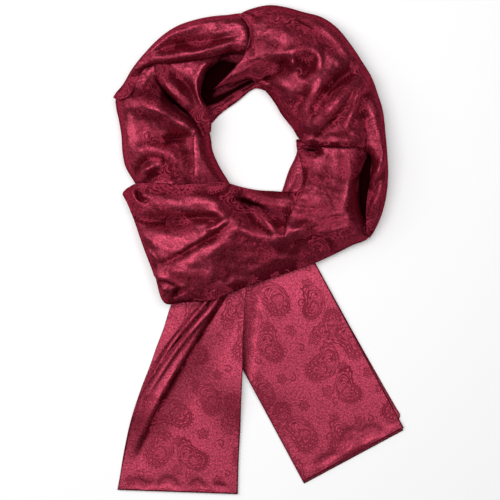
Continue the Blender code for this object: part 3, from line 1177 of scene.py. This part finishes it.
        weave = {
            "Strength": self.weave_strength,
            "Distance": self.weave_depth,
            "Height": grain * self.grain_height + fleck * (1.0 - self.grain_height),
        }
        bump = graph.node("ShaderNodeBump", {}, weave).outputs[0]
        matt_inputs = {
            "Base Color": thread,
            "Roughness": self.thread_rough,
            "Normal": bump,
            "Specular IOR Level": 0.0,
        }
        satin_inputs = {
            "Base Color": (*self.shine_colour, 1.0),
            "Specular Tint": (*self.shine_edge, 1.0),
            "Metallic": 1.0,
            "Roughness": self.shine_rough,
            "Normal": bump,
        }
        matt = graph.node("ShaderNodeBsdfPrincipled", {}, matt_inputs).outputs[0]
        satin = graph.node("ShaderNodeBsdfPrincipled", {}, satin_inputs).outputs[0]
        share = graph.math("MAXIMUM", shine, 0.0, clamp=True)
        shader = graph.node("ShaderNodeMixShader", {}, {0: share, 1: matt, 2: satin})
        graph.node("ShaderNodeOutputMaterial", {}, {"Surface": shader.outputs[0]})
        return graph.material


@dataclass(frozen=True)
class PaleTable:
    """The plain pale surface below the scarf."""

    colour: tuple[float, float, float] = (0.94, 0.94, 0.945)
    rough: float = 0.9
    gloss: float = 0.1
    glow: float = 0.13

    def material(self) -> bpy.types.Material:
        """Build the table's material.

        Returns:
            The material.
        """
        graph = Graph("pale_table")
        inputs = {
            "Base Color": (*self.colour, 1.0),
            "Roughness": self.rough,
            "Specular IOR Level": self.gloss,
            "Emission Color": (1.0, 1.0, 1.0, 1.0),
            "Emission Strength": self.glow,
        }
        shader = graph.node("ShaderNodeBsdfPrincipled", {}, inputs)
        graph.node("ShaderNodeOutputMaterial", {}, {"Surface": shader.outputs[0]})
        return graph.material


# The left tail's layers, from under the band down to the hem.
LEFT_TAIL_UNDER = (
    Section(-91, -39, -20, -39, 2.0),
    Section(-102, -63, -22, -57, 2.0),
    Section(-111, -91, -22, -89, 2.0),
    Section(-119, -112, -23, -115, 2.0),
    Section(-127, -135, -24, -143, 2.0),
    Section(-136, -158, -25, -170, 2.0),
    Section(-149, -198, -26, -207, 2.0),
    Section(-157, -235, -28, -242, 2.0),
    Section(-163, -274, -29, -279, 2.0),
)

LEFT_TAIL_PLEAT = (
    Section(-60, -43, -30, -38, 2.4),
    Section(-66, -57, -40, -62, 2.4),
    Section(-87, -83, -62, -92, 2.4),
    Section(-106, -107, -80, -117, 2.4),
    Section(-122, -131, -96, -142, 2.2),
    Section(-133, -154, -108, -165, 2.0),
    Section(-142, -178, -118, -187, 1.8),
)

LEFT_TAIL = (
    Section(-46, -40, -14, -36, 3.0),
    Section(-56, -59, -16, -52, 3.4),
    Section(-79, -87, -18, -87, 3.6),
    Section(-93, -104, -19, -109, 3.4),
    Section(-111, -125, -19, -133, 3.0),
    Section(-120, -141, -20, -152, 2.8),
    Section(-134, -162, -21, -175, 2.4),
    Section(-147, -195, -22, -205, 2.2),
    Section(-156, -235, -24, -243, 2.0),
    Section(-164, -277, -25, -282, 2.0),
)

LEFT_TAIL_PLEAT_FOLDS = (
    Fold(RIDGE, ((-137, -172), (-118, -137), (-100, -107), (-81, -83), (-60, -57), (-50, -36)), 4, 3.2),
)

LEFT_TAIL_FOLDS = (
    Fold(
        TUCK,
        ((-150, -250), (-115, -176), (-95, -142), (-63, -89), (-30, -34), (-10, 0)),
        12,
        5.5,
        lip=1.0,
        reach=22,
    ),
    Fold(TROUGH, ((-134, -232), (-100, -174), (-77, -136), (-45, -84), (-16, -34)), 5, 14),
    Fold(TROUGH, ((-117, -272), (-106, -266), (-93, -273)), 3.2, 3.0),
    Fold(TROUGH, ((-80, -273), (-72, -269), (-62, -274)), 2.8, 2.8),
    Fold(TROUGH, ((-51, -271), (-39, -274)), 2.4, 2.4),
    Fold(RIDGE, ((-129, -166), (-115, -143), (-97, -116), (-73, -86), (-51, -59), (-38, -36)), 4, 3.4),
    Fold(TROUGH, ((-143, -265), (-134, -271), (-124, -269)), 3.0, 3.2),
)

# The strip in the neck hole, from under the inner panel down to the band.
LEFT_NECK = (
    Section(45, 123, 65, 120, 14),
    Section(42, 109, 65, 103, 14),
    Section(34, 92, 59, 85, 13),
    Section(26, 68, 51, 62, 11),
    Section(19, 51, 44, 48, 8),
)

# The left limb, from under the band up to the crown.
LEFT_LIMB = (
    Section(-132, 52, -24, 52, 20),
    Section(-143, 76, -34, 76, 29),
    Section(-155, 98, -47, 98, 34),
    Section(-158, 115, -54, 115, 34),
    Section(-159, 132, -56, 129, 34),
    Section(-162, 150, -60, 145, 34),
    Section(-165, 164, -67, 160, 33),
    Section(-165, 175, -74, 176, 32),
    Section(-155, 184, -84, 189, 31),
    Section(-147, 197, -93, 201, 30),
    Section(-137, 210, -103, 213, 27),
    Section(-130, 220, -92, 226, 24),
)

LEFT_LIMB_FOLDS = (
    Fold(TROUGH, ((-118, 196), (-103, 178), (-89, 164), (-78, 152), (-66, 136)), 22, 4.6),
    Fold(RIDGE, ((-162, 163), (-144, 167), (-128, 166), (-111, 160), (-94, 152), (-72, 139)), 15, 11),
    Fold(TROUGH, ((-139, 177), (-126, 186), (-111, 176), (-94, 163), (-80, 150)), 12.5, 10.5),
    Fold(TROUGH, ((-128, 123), (-108, 125), (-89, 128), (-78, 133)), 11, 8),
    Fold(RIDGE, ((-142, 101), (-132, 112), (-117, 114), (-103, 108), (-91, 94), (-82, 74)), 13.5, 10.4),
    Fold(TROUGH, ((-144, 83), (-135, 97), (-122, 105), (-108, 100), (-101, 85)), 7.5, 6.3),
    Fold(RIDGE, ((-136, 79), (-128, 91), (-117, 97)), 6, 4),
    Fold(TROUGH, ((-128, 76), (-117, 84), (-101, 79)), 7.5, 7.4),
    Fold(TUCK, ((-70, 150), (-75, 126), (-74, 98), (-75, 58)), 7, 2.5, 2.0, 70),
    Fold(RIDGE, ((-158, 159), (-156, 126), (-151, 92)), 4.5, 9.1),
)

# The lower layer in the dark hollow, from the left limb round to the hood.
UNDER_FOLD = (
    Section(-82, 166, -56, 145, 9),
    Section(-84, 192, -45, 157, 10),
    Section(-72, 220, -26, 171, 11),
    Section(-42, 238, -6, 186, 12),
    Section(-6, 240, 7, 184, 12),
)

UNDER_FOLD_FOLDS = (
    Fold(TROUGH, ((-18, 216), (-33, 212), (-44, 204), (-53, 192), (-60, 180), (-64, 166)), 24, 9),
    Fold(TROUGH, ((-38, 220), (-54, 207), (-64, 192), (-68, 174)), 24, 8),
    Fold(TROUGH, ((-66, 166), (-47, 174), (-30, 184), (-11, 194), (6, 201)), 22, 5),
)

# The crown's left stretch, from the outer roll down to its tip at the neck hole.
CROWN_LEFT = (
    Section(-112, 232, -34, 243, 26),
    Section(-118, 218, -38, 230, 32),
    Section(-120, 207, -47, 216, 36),
    Section(-116, 195, -59, 206, 38),
    Section(-110, 184, -65, 193, 39),
    Section(-97, 171, -67, 179, 39),
    Section(-85, 160, -63, 168, 37),
    Section(-75, 150, -56, 160, 34),
    Section(-68, 139, -55, 148, 30),
    Section(-64, 129, -56, 135, 24),
)

CROWN_LEFT_FOLDS = (
    Fold(TROUGH, ((-56, 152), (-51, 159), (-47, 164)), 16, 3.6),
    Fold(TROUGH, ((-105, 207), (-90, 195), (-78, 182), (-72, 163)), 7.5, 9.5),
    Fold(RIDGE, ((-44, 214), (-59, 206), (-67, 191), (-65, 176), (-57, 159)), 7.5, 7.8),
    Fold(RIDGE, ((-120, 207), (-111, 193), (-96, 177), (-80, 159)), 4.5, 10.4),
)

# The crown's outer roll, from its left corner up to the hood.
CROWN_OUTER = (
    Section(-167, 175, -161, 170, 10),
    Section(-163, 182, -149, 175, 22),
    Section(-156, 191, -142, 187, 28),
    Section(-147, 206, -135, 203, 34),
    Section(-133, 224, -121, 211, 39),
    Section(-117, 241, -103, 212, 42),
    Section(-96, 256, -82, 214, 43),
    Section(-74, 264, -63, 217, 43),
    Section(-55, 268, -45, 221, 42),
    Section(-36, 270, -28, 224, 40),
    Section(-20, 272, -14, 222, 36),
    Section(-9, 271, -6, 219, 32),
)

CROWN_OUTER_FOLDS = (
    Fold(TROUGH, ((-131, 218), (-108, 230), (-80, 236), (-51, 239), (-25, 244)), 9, 7),
    Fold(RIDGE, ((-117, 215), (-83, 220), (-65, 222), (-48, 228), (-33, 231), (-19, 230)), 7.5, 7.8),
    Fold(RIDGE, ((-135, 221), (-113, 244), (-89, 256), (-64, 263), (-34, 268)), 7.5, 11.7),
    Fold(RIDGE, ((-22, 264), (-16, 246), (-19, 228)), 6, 7.8),
)

# The band, from the top of the inner panel down and across to its left end.
FRONT_BAND = (
    Section(42, 127, 126, 122, 24),
    Section(43, 115, 130, 108, 27),
    Section(47, 101, 130, 91, 28),
    Section(50, 90, 128, 69, 28),
    Section(50, 79, 127, 46, 29),
    Section(47, 70, 127, 26, 31),
    Section(40, 67, 126, 15, 32),
    Section(29, 67, 106, 5, 33),
    Section(14, 68, 86, -5, 34),
    Section(-2, 69, 64, -15, 35),
    Section(-18, 72, 42, -23, 36),
    Section(-34, 76, 18, -31, 36),
    Section(-50, 78, -9, -40, 37),
    Section(-68, 76, -34, -50, 38),
    Section(-86, 75, -57, -58, 38),
    Section(-105, 76, -85, -60, 38),
    Section(-124, 77, -109, -61, 37),
    Section(-140, 76, -119, -34, 35),
    Section(-151, 72, -132, 0, 30),
    Section(-158, 66, -145, 38, 20),
)

FRONT_BAND_FOLDS = (
    Fold(TROUGH, ((-84, -52), (-78, -58), (-74, -63)), 5, 1.9),
    Fold(TROUGH, ((-75, -49), (-69, -55), (-66, -60)), 4, 1.8),
    Fold(RIDGE, ((-104, -56), (-98, -44), (-86, -42)), 4, 2.4),
    Fold(RIDGE, ((-118, -60), (-111, -48), (-102, -41)), 4, 3.2),
    Fold(RIDGE, ((-142, 54), (-119, 55), (-95, 54), (-74, 54), (-56, 52)), 9, 16),
    Fold(RIDGE, ((-78, 58), (-57, 53), (-43, 45), (-34, 36), (-31, 27), (-38, 18)), 7, 11),
    Fold(RIDGE, ((-25, 28), (-43, 12), (-60, 1), (-80, -10), (-108, -24)), 7, 13),
    Fold(TROUGH, ((-149, 38), (-124, 34), (-96, 33), (-70, 37), (-47, 37)), 15, 8.5),
    Fold(TROUGH, ((-35, 28), (-51, 16), (-72, 5), (-90, -6), (-110, -16)), 8.8, 4.2),
    Fold(RIDGE, ((-134, 0), (-109, 8), (-86, 12), (-62, 20)), 7.5, 19.5),
    Fold(RIDGE, ((-62, 20), (-48, 28), (-34, 37)), 6, 4),
    Fold(TROUGH, ((-136, 71), (-138, 64), (-135, 58), (-127, 56)), 10, 2.8),
    Fold(RIDGE, ((-134, 76), (-143, 68), (-141, 57), (-131, 51)), 6, 3),
    Fold(TROUGH, ((-120, 66), (-105, 69), (-90, 70), (-71, 69)), 2.4, 4),
    Fold(RIDGE, ((-33, 40), (-14, 26), (3, 16), (29, 9)), 9, 10.4),
    Fold(TROUGH, ((-26, 51), (-4, 33), (18, 16)), 6.2, 9.5),
    Fold(RIDGE, ((-12, 55), (3, 41), (12, 29), (27, 13)), 4, 4),
    Fold(TROUGH, ((-48, 66), (-22, 59), (3, 50), (28, 40), (42, 37)), 15, 15),
    Fold(TUCK, ((56, 94), (50, 66), (40, 49), (33, 34), (25, 5)), 9, 3, 3.0, 40),
    Fold(RIDGE, ((22, 12), (42, 20), (63, 34)), 6, 6.5),
    Fold(RIDGE, ((-101, -32), (-68, -31), (-36, -25)), 7.5, 16.9),
    Fold(
        TUCK,
        ((-131, -23), (-117, -32), (-102, -36), (-87, -44), (-70, -53), (-52, -63)),
        5,
        2.5,
        lip=1.5,
        reach=14,
    ),
    Fold(TROUGH, ((-99, -56), (-94, -48), (-85, -48)), 15, 3.4),
    Fold(TROUGH, ((46, 117), (58, 115), (71, 113)), 20, 3.4),
    Fold(TROUGH, ((129, 126), (127, 108), (122, 86), (120, 63), (120, 44), (126, 16)), 32, 8),
    Fold(RIDGE, ((113, 103), (105, 69), (105, 34)), 4.5, 11.7),
)

# The hood, from the crown over and down the outer limb.
HOOD = (
    Section(-24, 267.5, -56, 183, 38, 27, 8),
    Section(-9, 277, -32, 191, 41, 21, 0),
    Section(10, 281, -11, 196, 43, 11, 0),
    Section(29, 279, 7, 182, 45, 4, 0),
    Section(51, 273, 18, 168, 45),
    Section(72, 267, 25, 156, 45),
    Section(88, 256, 32, 147, 44),
    Section(104, 237, 39, 138, 43),
    Section(117, 218, 44, 129, 41),
    Section(128, 200, 51, 121, 40),
    Section(136, 179, 71, 117, 38),
    Section(142, 159, 96, 117, 37),
    Section(145, 132, 119, 115, 35),
    Section(147, 109, 129, 103, 33),
    Section(148, 86, 127, 83, 31),
    Section(145, 57, 123, 57, 28),
    Section(139, 36, 122, 38, 25),
    Section(131, 20, 123, 24, 17),
    Section(126, 14, 123, 16, 9),
)

HOOD_FOLDS = (
    Fold(RIDGE, ((-15, 262), (6, 249), (30, 240), (60, 228), (86, 212)), 6, 13),
    Fold(RIDGE, ((68, 259), (89, 243), (111, 221)), 7.5, 10.4),
    Fold(TROUGH, ((37, 264), (67, 247), (93, 228)), 6.2, 10.5),
    Fold(RIDGE, ((7, 220), (25, 220), (36, 222), (45, 224), (59, 225)), 7.5, 6.5),
    Fold(RIDGE, ((58, 229), (67, 219), (66, 206), (52, 194)), 3.6, 4.5),
    Fold(TROUGH, ((46, 222), (56, 210), (49, 196)), 9, 8),
    Fold(RIDGE, ((35, 219), (37, 211), (41, 203)), 6, 4.2),
    Fold(TROUGH, ((32, 218), (24, 208), (10, 195)), 10, 8.4),
    Fold(TROUGH, ((-4, 193), (6, 196), (15, 202)), 13, 6),
    Fold(RIDGE, ((4, 183), (22, 182), (36, 176), (45, 161)), 6, 13),
    Fold(TROUGH, ((62, 187), (50, 176), (43, 163), (41, 147)), 10, 8.4),
    Fold(RIDGE, ((45, 136), (52, 160), (60, 177), (70, 190), (86, 207)), 13, 10.5),
    Fold(TROUGH, ((53, 141), (66, 164), (79, 182), (95, 197), (117, 208)), 11.2, 9.5),
    Fold(RIDGE, ((47, 123), (64, 141), (74, 153), (87, 164), (101, 177), (122, 199)), 18, 11),
    Fold(TROUGH, ((62, 126), (83, 145), (95, 161), (104, 176), (117, 190)), 10, 6.3),
    Fold(RIDGE, ((96, 136), (103, 151), (108, 162), (112, 175), (118, 184), (127, 198)), 7.5, 4),
    Fold(RIDGE, ((78, 123), (102, 133), (119, 145)), 6, 16.9),
    Fold(TROUGH, ((119, 166), (122, 138), (122, 115)), 6.2, 7.4),
    Fold(RIDGE, ((133, 163), (135, 126), (137, 88)), 2.5, 9),
    Fold(RIDGE, ((141, 108), (133, 86), (125, 69)), 7.5, 4),
    Fold(RIDGE, ((140, 76), (132, 55), (124, 39)), 7.5, 4),
    Fold(TROUGH, ((125, 110), (122, 75), (119, 37)), 7.5, 5.2),
)

# The right tail's creases; its sections are worked out from its sizes.
RIGHT_TAIL_FOLDS = (
    Fold(
        TUCK,
        ((-2, -14), (-5, -57), (-10, -92), (-13, -138), (-17, -175), (-19, -201)),
        5.5,
        9,
        reach=45,
    ),
    Fold(TROUGH, ((95, -222), (106, -213), (117, -216), (128, -209), (142, -211)), 4.5, 4.6),
    Fold(TROUGH, ((65, -248), (79, -240), (90, -236)), 2.4, 4),
    Fold(RIDGE, ((58, -255), (81, -243), (106, -230), (134, -216), (157, -205)), 1.2, 3.5),
)


@dataclass
class Assembly:
    """A sub-assembly of the scarf: stretches that are laid one after another."""

    finish: bpy.types.Material
    pieces: list[bpy.types.Object] = field(default_factory=list)

    def stretches(self) -> list[Stretch]:
        """List the stretches, lowest first."""
        raise NotImplementedError

    def build(self, net: HeightNet) -> None:
        """Lay every stretch on what is there already.

        Args:
            net: The cloth laid so far.
        """
        for stretch in self.stretches():
            self.pieces.append(stretch.build(net, self.finish))


@dataclass
class RightTail(Assembly):
    """The straight tail on the right: the folded cloth's two layers, one slipped past the other."""

    width: float = 132.0
    length: float = 242.0
    direction: float = math.radians(-61.8)
    top_left: tuple[float, float] = (-64.0, -54.5)
    hem_slip: float = 2.5
    side_slip: float = 3.5
    under_corner: float = 0.925
    corner_round: float = 0.03
    row_shares: tuple[float, ...] = (0.0, 0.25, 0.5, 0.75)
    hem_tuck: float = 0.5
    layer: float = 2.0
    folds: Folds = RIGHT_TAIL_FOLDS

    def sections(self, hem_slip: float, side_slip: float) -> list[Section]:
        """Return the sections of one layer.

        Args:
            hem_slip: How far the layer's hem shows past the other's.
            side_slip: How far its side shows, down to its own corner.

        Returns:
            The sections, from under the band down to the hem.
        """
        down = np.array((math.cos(self.direction), math.sin(self.direction)))
        across = np.array((-down[1], down[0]))
        start = np.array(self.top_left) + hem_slip * down
        corner, bend = self.under_corner, self.corner_round
        rows = []
        for share in (*self.row_shares, corner - bend, corner, corner + bend, 1.0):
            side = side_slip * (share / corner) ** 2 if share <= corner else -self.hem_tuck * side_slip
            outer = start + down * self.length * share
            inner = outer + across * (self.width + side)
            rows.append(Section(*outer, *inner, self.layer))
        return rows

    def stretches(self) -> list[Stretch]:
        """List the lower layer, then the upper one.

        Returns:
            Both stretches, the upper one with the figure turned along the tail.
        """
        under = self.sections(self.hem_slip, self.side_slip)
        upper = self.sections(0.0, 0.0)
        turn = math.degrees(self.direction) + 90.0
        return [
            Stretch("right_tail_under", under, flat_panel=True, rests_on=("floor",), crumple=0.2),
            Stretch(
                "right_tail",
                upper,
                self.folds,
                flat_panel=True,
                rests_on=("right_tail_under_shell",),
                crumple=0.14,
                crumple_size=34.0,
                pattern_turn=turn,
            ),
        ]


@dataclass
class LeftTail(Assembly):
    """The fanned tail on the left: a lower layer, a pleat and the upper layer with its hump."""

    under: Sections = LEFT_TAIL_UNDER
    pleat: Sections = LEFT_TAIL_PLEAT
    pleat_folds: Folds = LEFT_TAIL_PLEAT_FOLDS
    upper: Sections = LEFT_TAIL
    upper_folds: Folds = LEFT_TAIL_FOLDS

    def stretches(self) -> list[Stretch]:
        """List the layers, lowest first."""
        return [
            Stretch("left_tail_under", self.under, flat_panel=True, rests_on=("floor",), crumple=0.2),
            Stretch(
                "left_tail_pleat",
                self.pleat,
                self.pleat_folds,
                # Painted shade over the whole pleat.
                painted_light_and_shade=(-0.4,),
                flat_panel=True,
                rests_on=("left_tail_under_shell",),
                across_count=40,
                crumple=0.3,
            ),
            Stretch(
                "left_tail",
                self.upper,
                self.upper_folds,
                flat_panel=True,
                rests_on=("left_tail_pleat_shell", "left_tail_under_shell"),
                crumple=0.16,
                crumple_size=34.0,
                pattern_shift=(40.0, 25.0),
            ),
        ]


@dataclass
class LeftLimb(Assembly):
    """The left side of the neck loop, with the strip of the other limb that shows in its hole."""

    neck: Sections = LEFT_NECK
    limb: Sections = LEFT_LIMB
    limb_folds: Folds = LEFT_LIMB_FOLDS
    under_crown: Sections = UNDER_FOLD
    under_crown_folds: Folds = UNDER_FOLD_FOLDS

    def stretches(self) -> list[Stretch]:
        """List the strip, the limb and the fold that shows under the crown."""
        return [
            Stretch(
                "left_neck",
                self.neck,
                shoulder=(3.0,),
                rests_on=("floor",),
                pattern_shift=(12.0, 70.0),
            ),
            Stretch(
                "left_limb",
                self.limb,
                self.limb_folds,
                # Slight painted light on the limb's lower part, slight painted shade higher up.
                painted_light_and_shade=(0.1, 0.1, -0.05, -0.05, 0.0),
                shoulder=(4.2, 6.0, 5.5),
                rests_on=("floor",),
                pattern_turn=14.0,
                pattern_shift=(30.0, 10.0),
            ),
            Stretch(
                "under_fold",
                self.under_crown,
                self.under_crown_folds,
                shoulder=(1.8,),
                crest=(0.62,),
                # Strong painted shade over the whole fold in the hollow.
                painted_light_and_shade=(-1.1,),
                rests_on=("left_limb_shell",),
            ),
        ]


@dataclass
class Crown(Assembly):
    """The bunched cloth at the upper left, behind the neck."""

    left: Sections = CROWN_LEFT
    left_folds: Folds = CROWN_LEFT_FOLDS
    outer: Sections = CROWN_OUTER
    outer_folds: Folds = CROWN_OUTER_FOLDS

    def stretches(self) -> list[Stretch]:
        """List the left part and the outer roll."""
        return [
            Stretch(
                "crown_left",
                self.left,
                self.left_folds,
                shoulder=(4.4,),
                rests_on=("left_limb_shell",),
                pattern_turn=-35.0,
                pattern_shift=(5.0, 44.0),
            ),
            Stretch(
                "crown_outer",
                self.outer,
                self.outer_folds,
                # Painted light over the whole outer roll.
                painted_light_and_shade=(0.4,),
                shoulder=(3.2, 3.8),
                rests_on=("crown_left_shell", "floor"),
                pattern_turn=-70.0,
                pattern_shift=(22.0, 8.0),
            ),
        ]


@dataclass
class FrontBand(Assembly):
    """The wide front band, from the inner panel below the hood to the gathered left end."""

    sections: Sections = FRONT_BAND
    folds: Folds = FRONT_BAND_FOLDS

    def stretches(self) -> list[Stretch]:
        """List the one stretch."""
        return [
            Stretch(
                "front_band",
                self.sections,
                self.folds,
                # Painted shade, strongest at the inner panel's end and fading towards the left end.
                painted_light_and_shade=(-0.7, -0.7, -0.5, -0.3, -0.15, -0.1, -0.1),
                across_count=84,
                shoulder=(5.0, 4.4, 2.1, 1.6, 2.8, 6.0, 8.0),
                roundness=(2.2, 2.2, 1.4, 1.2, 1.8, 2.4, 2.4),
                rests_on=("left_limb_shell", "left_neck_shell", "right_tail_shell", "left_tail_shell"),
                pattern_turn=20.0,
                pattern_shift=(60.0, 30.0),
            )
        ]


@dataclass
class Hood(Assembly):
    """The right limb: the wide turned-over stretch from the crown down to the band's right end."""

    sections: Sections = HOOD
    folds: Folds = HOOD_FOLDS

    def stretches(self) -> list[Stretch]:
        """List the one stretch."""
        return [
            Stretch(
                "hood",
                self.sections,
                self.folds,
                # Painted shade, strongest at the crown's end and lighter down the outer limb.
                painted_light_and_shade=(-0.45, -0.5, -0.2, -0.1, -0.15),
                across_count=84,
                shoulder=(3.0, 2.6, 3.0, 4.2, 4.2),
                roundness=(1.5, 1.6, 2.0, 2.0, 2.0),
                crest=(0.40, 0.40, 0.42, 0.5, 0.5),
                end_length=3.5,
                also_replaces=("inner_pleat",),
                rests_on=("front_band_shell", "crown_outer_shell", "floor"),
                pattern_turn=-25.0,
                pattern_shift=(80.0, 90.0),
            )
        ]


@dataclass(frozen=True)
class Studio:
    """The table, the soft lights and the camera straight above."""

    floor_size: float = 12.0
    camera_height: float = 2.2
    picture_width: float = 0.575
    picture_centre: tuple[float, float] = (-0.0109, 0.0)
    sharp_height: float = 0.013
    sensor: float = 36.0
    key_place: tuple[float, float, float] = (-0.42, 0.32, 2.3)
    key_size: tuple[float, float] = (2.5, 1.6)
    key_power: float = 58.0
    side_place: tuple[float, float, float] = (-1.5, 0.7, 1.25)
    side_size: float = 1.1
    side_power: float = 7.0
    fill_strength: float = 0.04

    def table(self, finish: bpy.types.Material) -> None:
        """Lay the pale table below the scarf.

        Args:
            finish: The table's material.
        """
        sheet = bmesh.new()
        bmesh.ops.create_grid(sheet, x_segments=1, y_segments=1, size=self.floor_size / 2.0)
        mesh = bpy.data.meshes.new("table")
        sheet.to_mesh(mesh)
        sheet.free()
        mesh.materials.append(finish)
        floor = bpy.data.objects.new("floor", mesh)
        bpy.context.scene.collection.objects.link(floor)

    @staticmethod
    def lamp(name: str, size: tuple[float, float], power: float) -> bpy.types.Object:
        """Make one soft light, facing down.

        Args:
            name: Its name.
            size: Its width and depth.
            power: Its power.

        Returns:
            The light.
        """
        data = bpy.data.lights.new(name, "AREA")
        data.shape = "RECTANGLE"
        data.size, data.size_y = size
        data.energy = power
        light = bpy.data.objects.new(name, data)
        bpy.context.scene.collection.objects.link(light)
        return light

    def lights(self) -> None:
        """Hang the large soft light above the scarf's upper left, with a pale room round it."""
        key = self.lamp("key", self.key_size, self.key_power)
        key.location = self.key_place
        side = self.lamp("side", (self.side_size, self.side_size), self.side_power)
        side.location = self.side_place
        toward = -Vector(self.side_place)
        side.rotation_euler = toward.to_track_quat("-Z", "Y").to_euler()
        world = bpy.data.worlds.new("pale_room")
        world.use_nodes = True
        background = world.node_tree.nodes["Background"]
        background.inputs["Color"].default_value = (1.0, 1.0, 1.0, 1.0)
        background.inputs["Strength"].default_value = self.fill_strength
        bpy.context.scene.world = world

    def camera(self) -> None:
        """Set the camera straight above, with the photo's width in view."""
        lens = bpy.data.cameras.new("camera")
        lens.sensor_width = self.sensor
        lens.lens = self.sensor * (self.camera_height - self.sharp_height) / self.picture_width
        camera = bpy.data.objects.new("camera", lens)
        camera.location = (*self.picture_centre, self.camera_height)
        bpy.context.scene.collection.objects.link(camera)
        bpy.context.scene.camera = camera


def main() -> None:
    """Build the scarf piece by piece, then its table, lights and camera."""
    logging.basicConfig(level=logging.INFO, format="%(message)s")
    cloth = SatinDamask().material()
    net = HeightNet()
    for kind in (RightTail, LeftTail, LeftLimb, Crown, FrontBand, Hood):
        assembly = kind(cloth)
        assembly.build(net)
        LOG.info("%s: %d pieces", type(assembly).__name__, len(assembly.pieces))
    studio = Studio()
    studio.table(PaleTable().material())
    studio.lights()
    studio.camera()
    bpy.context.scene.view_settings.view_transform = "Standard"


if __name__ == "__main__":
    main()
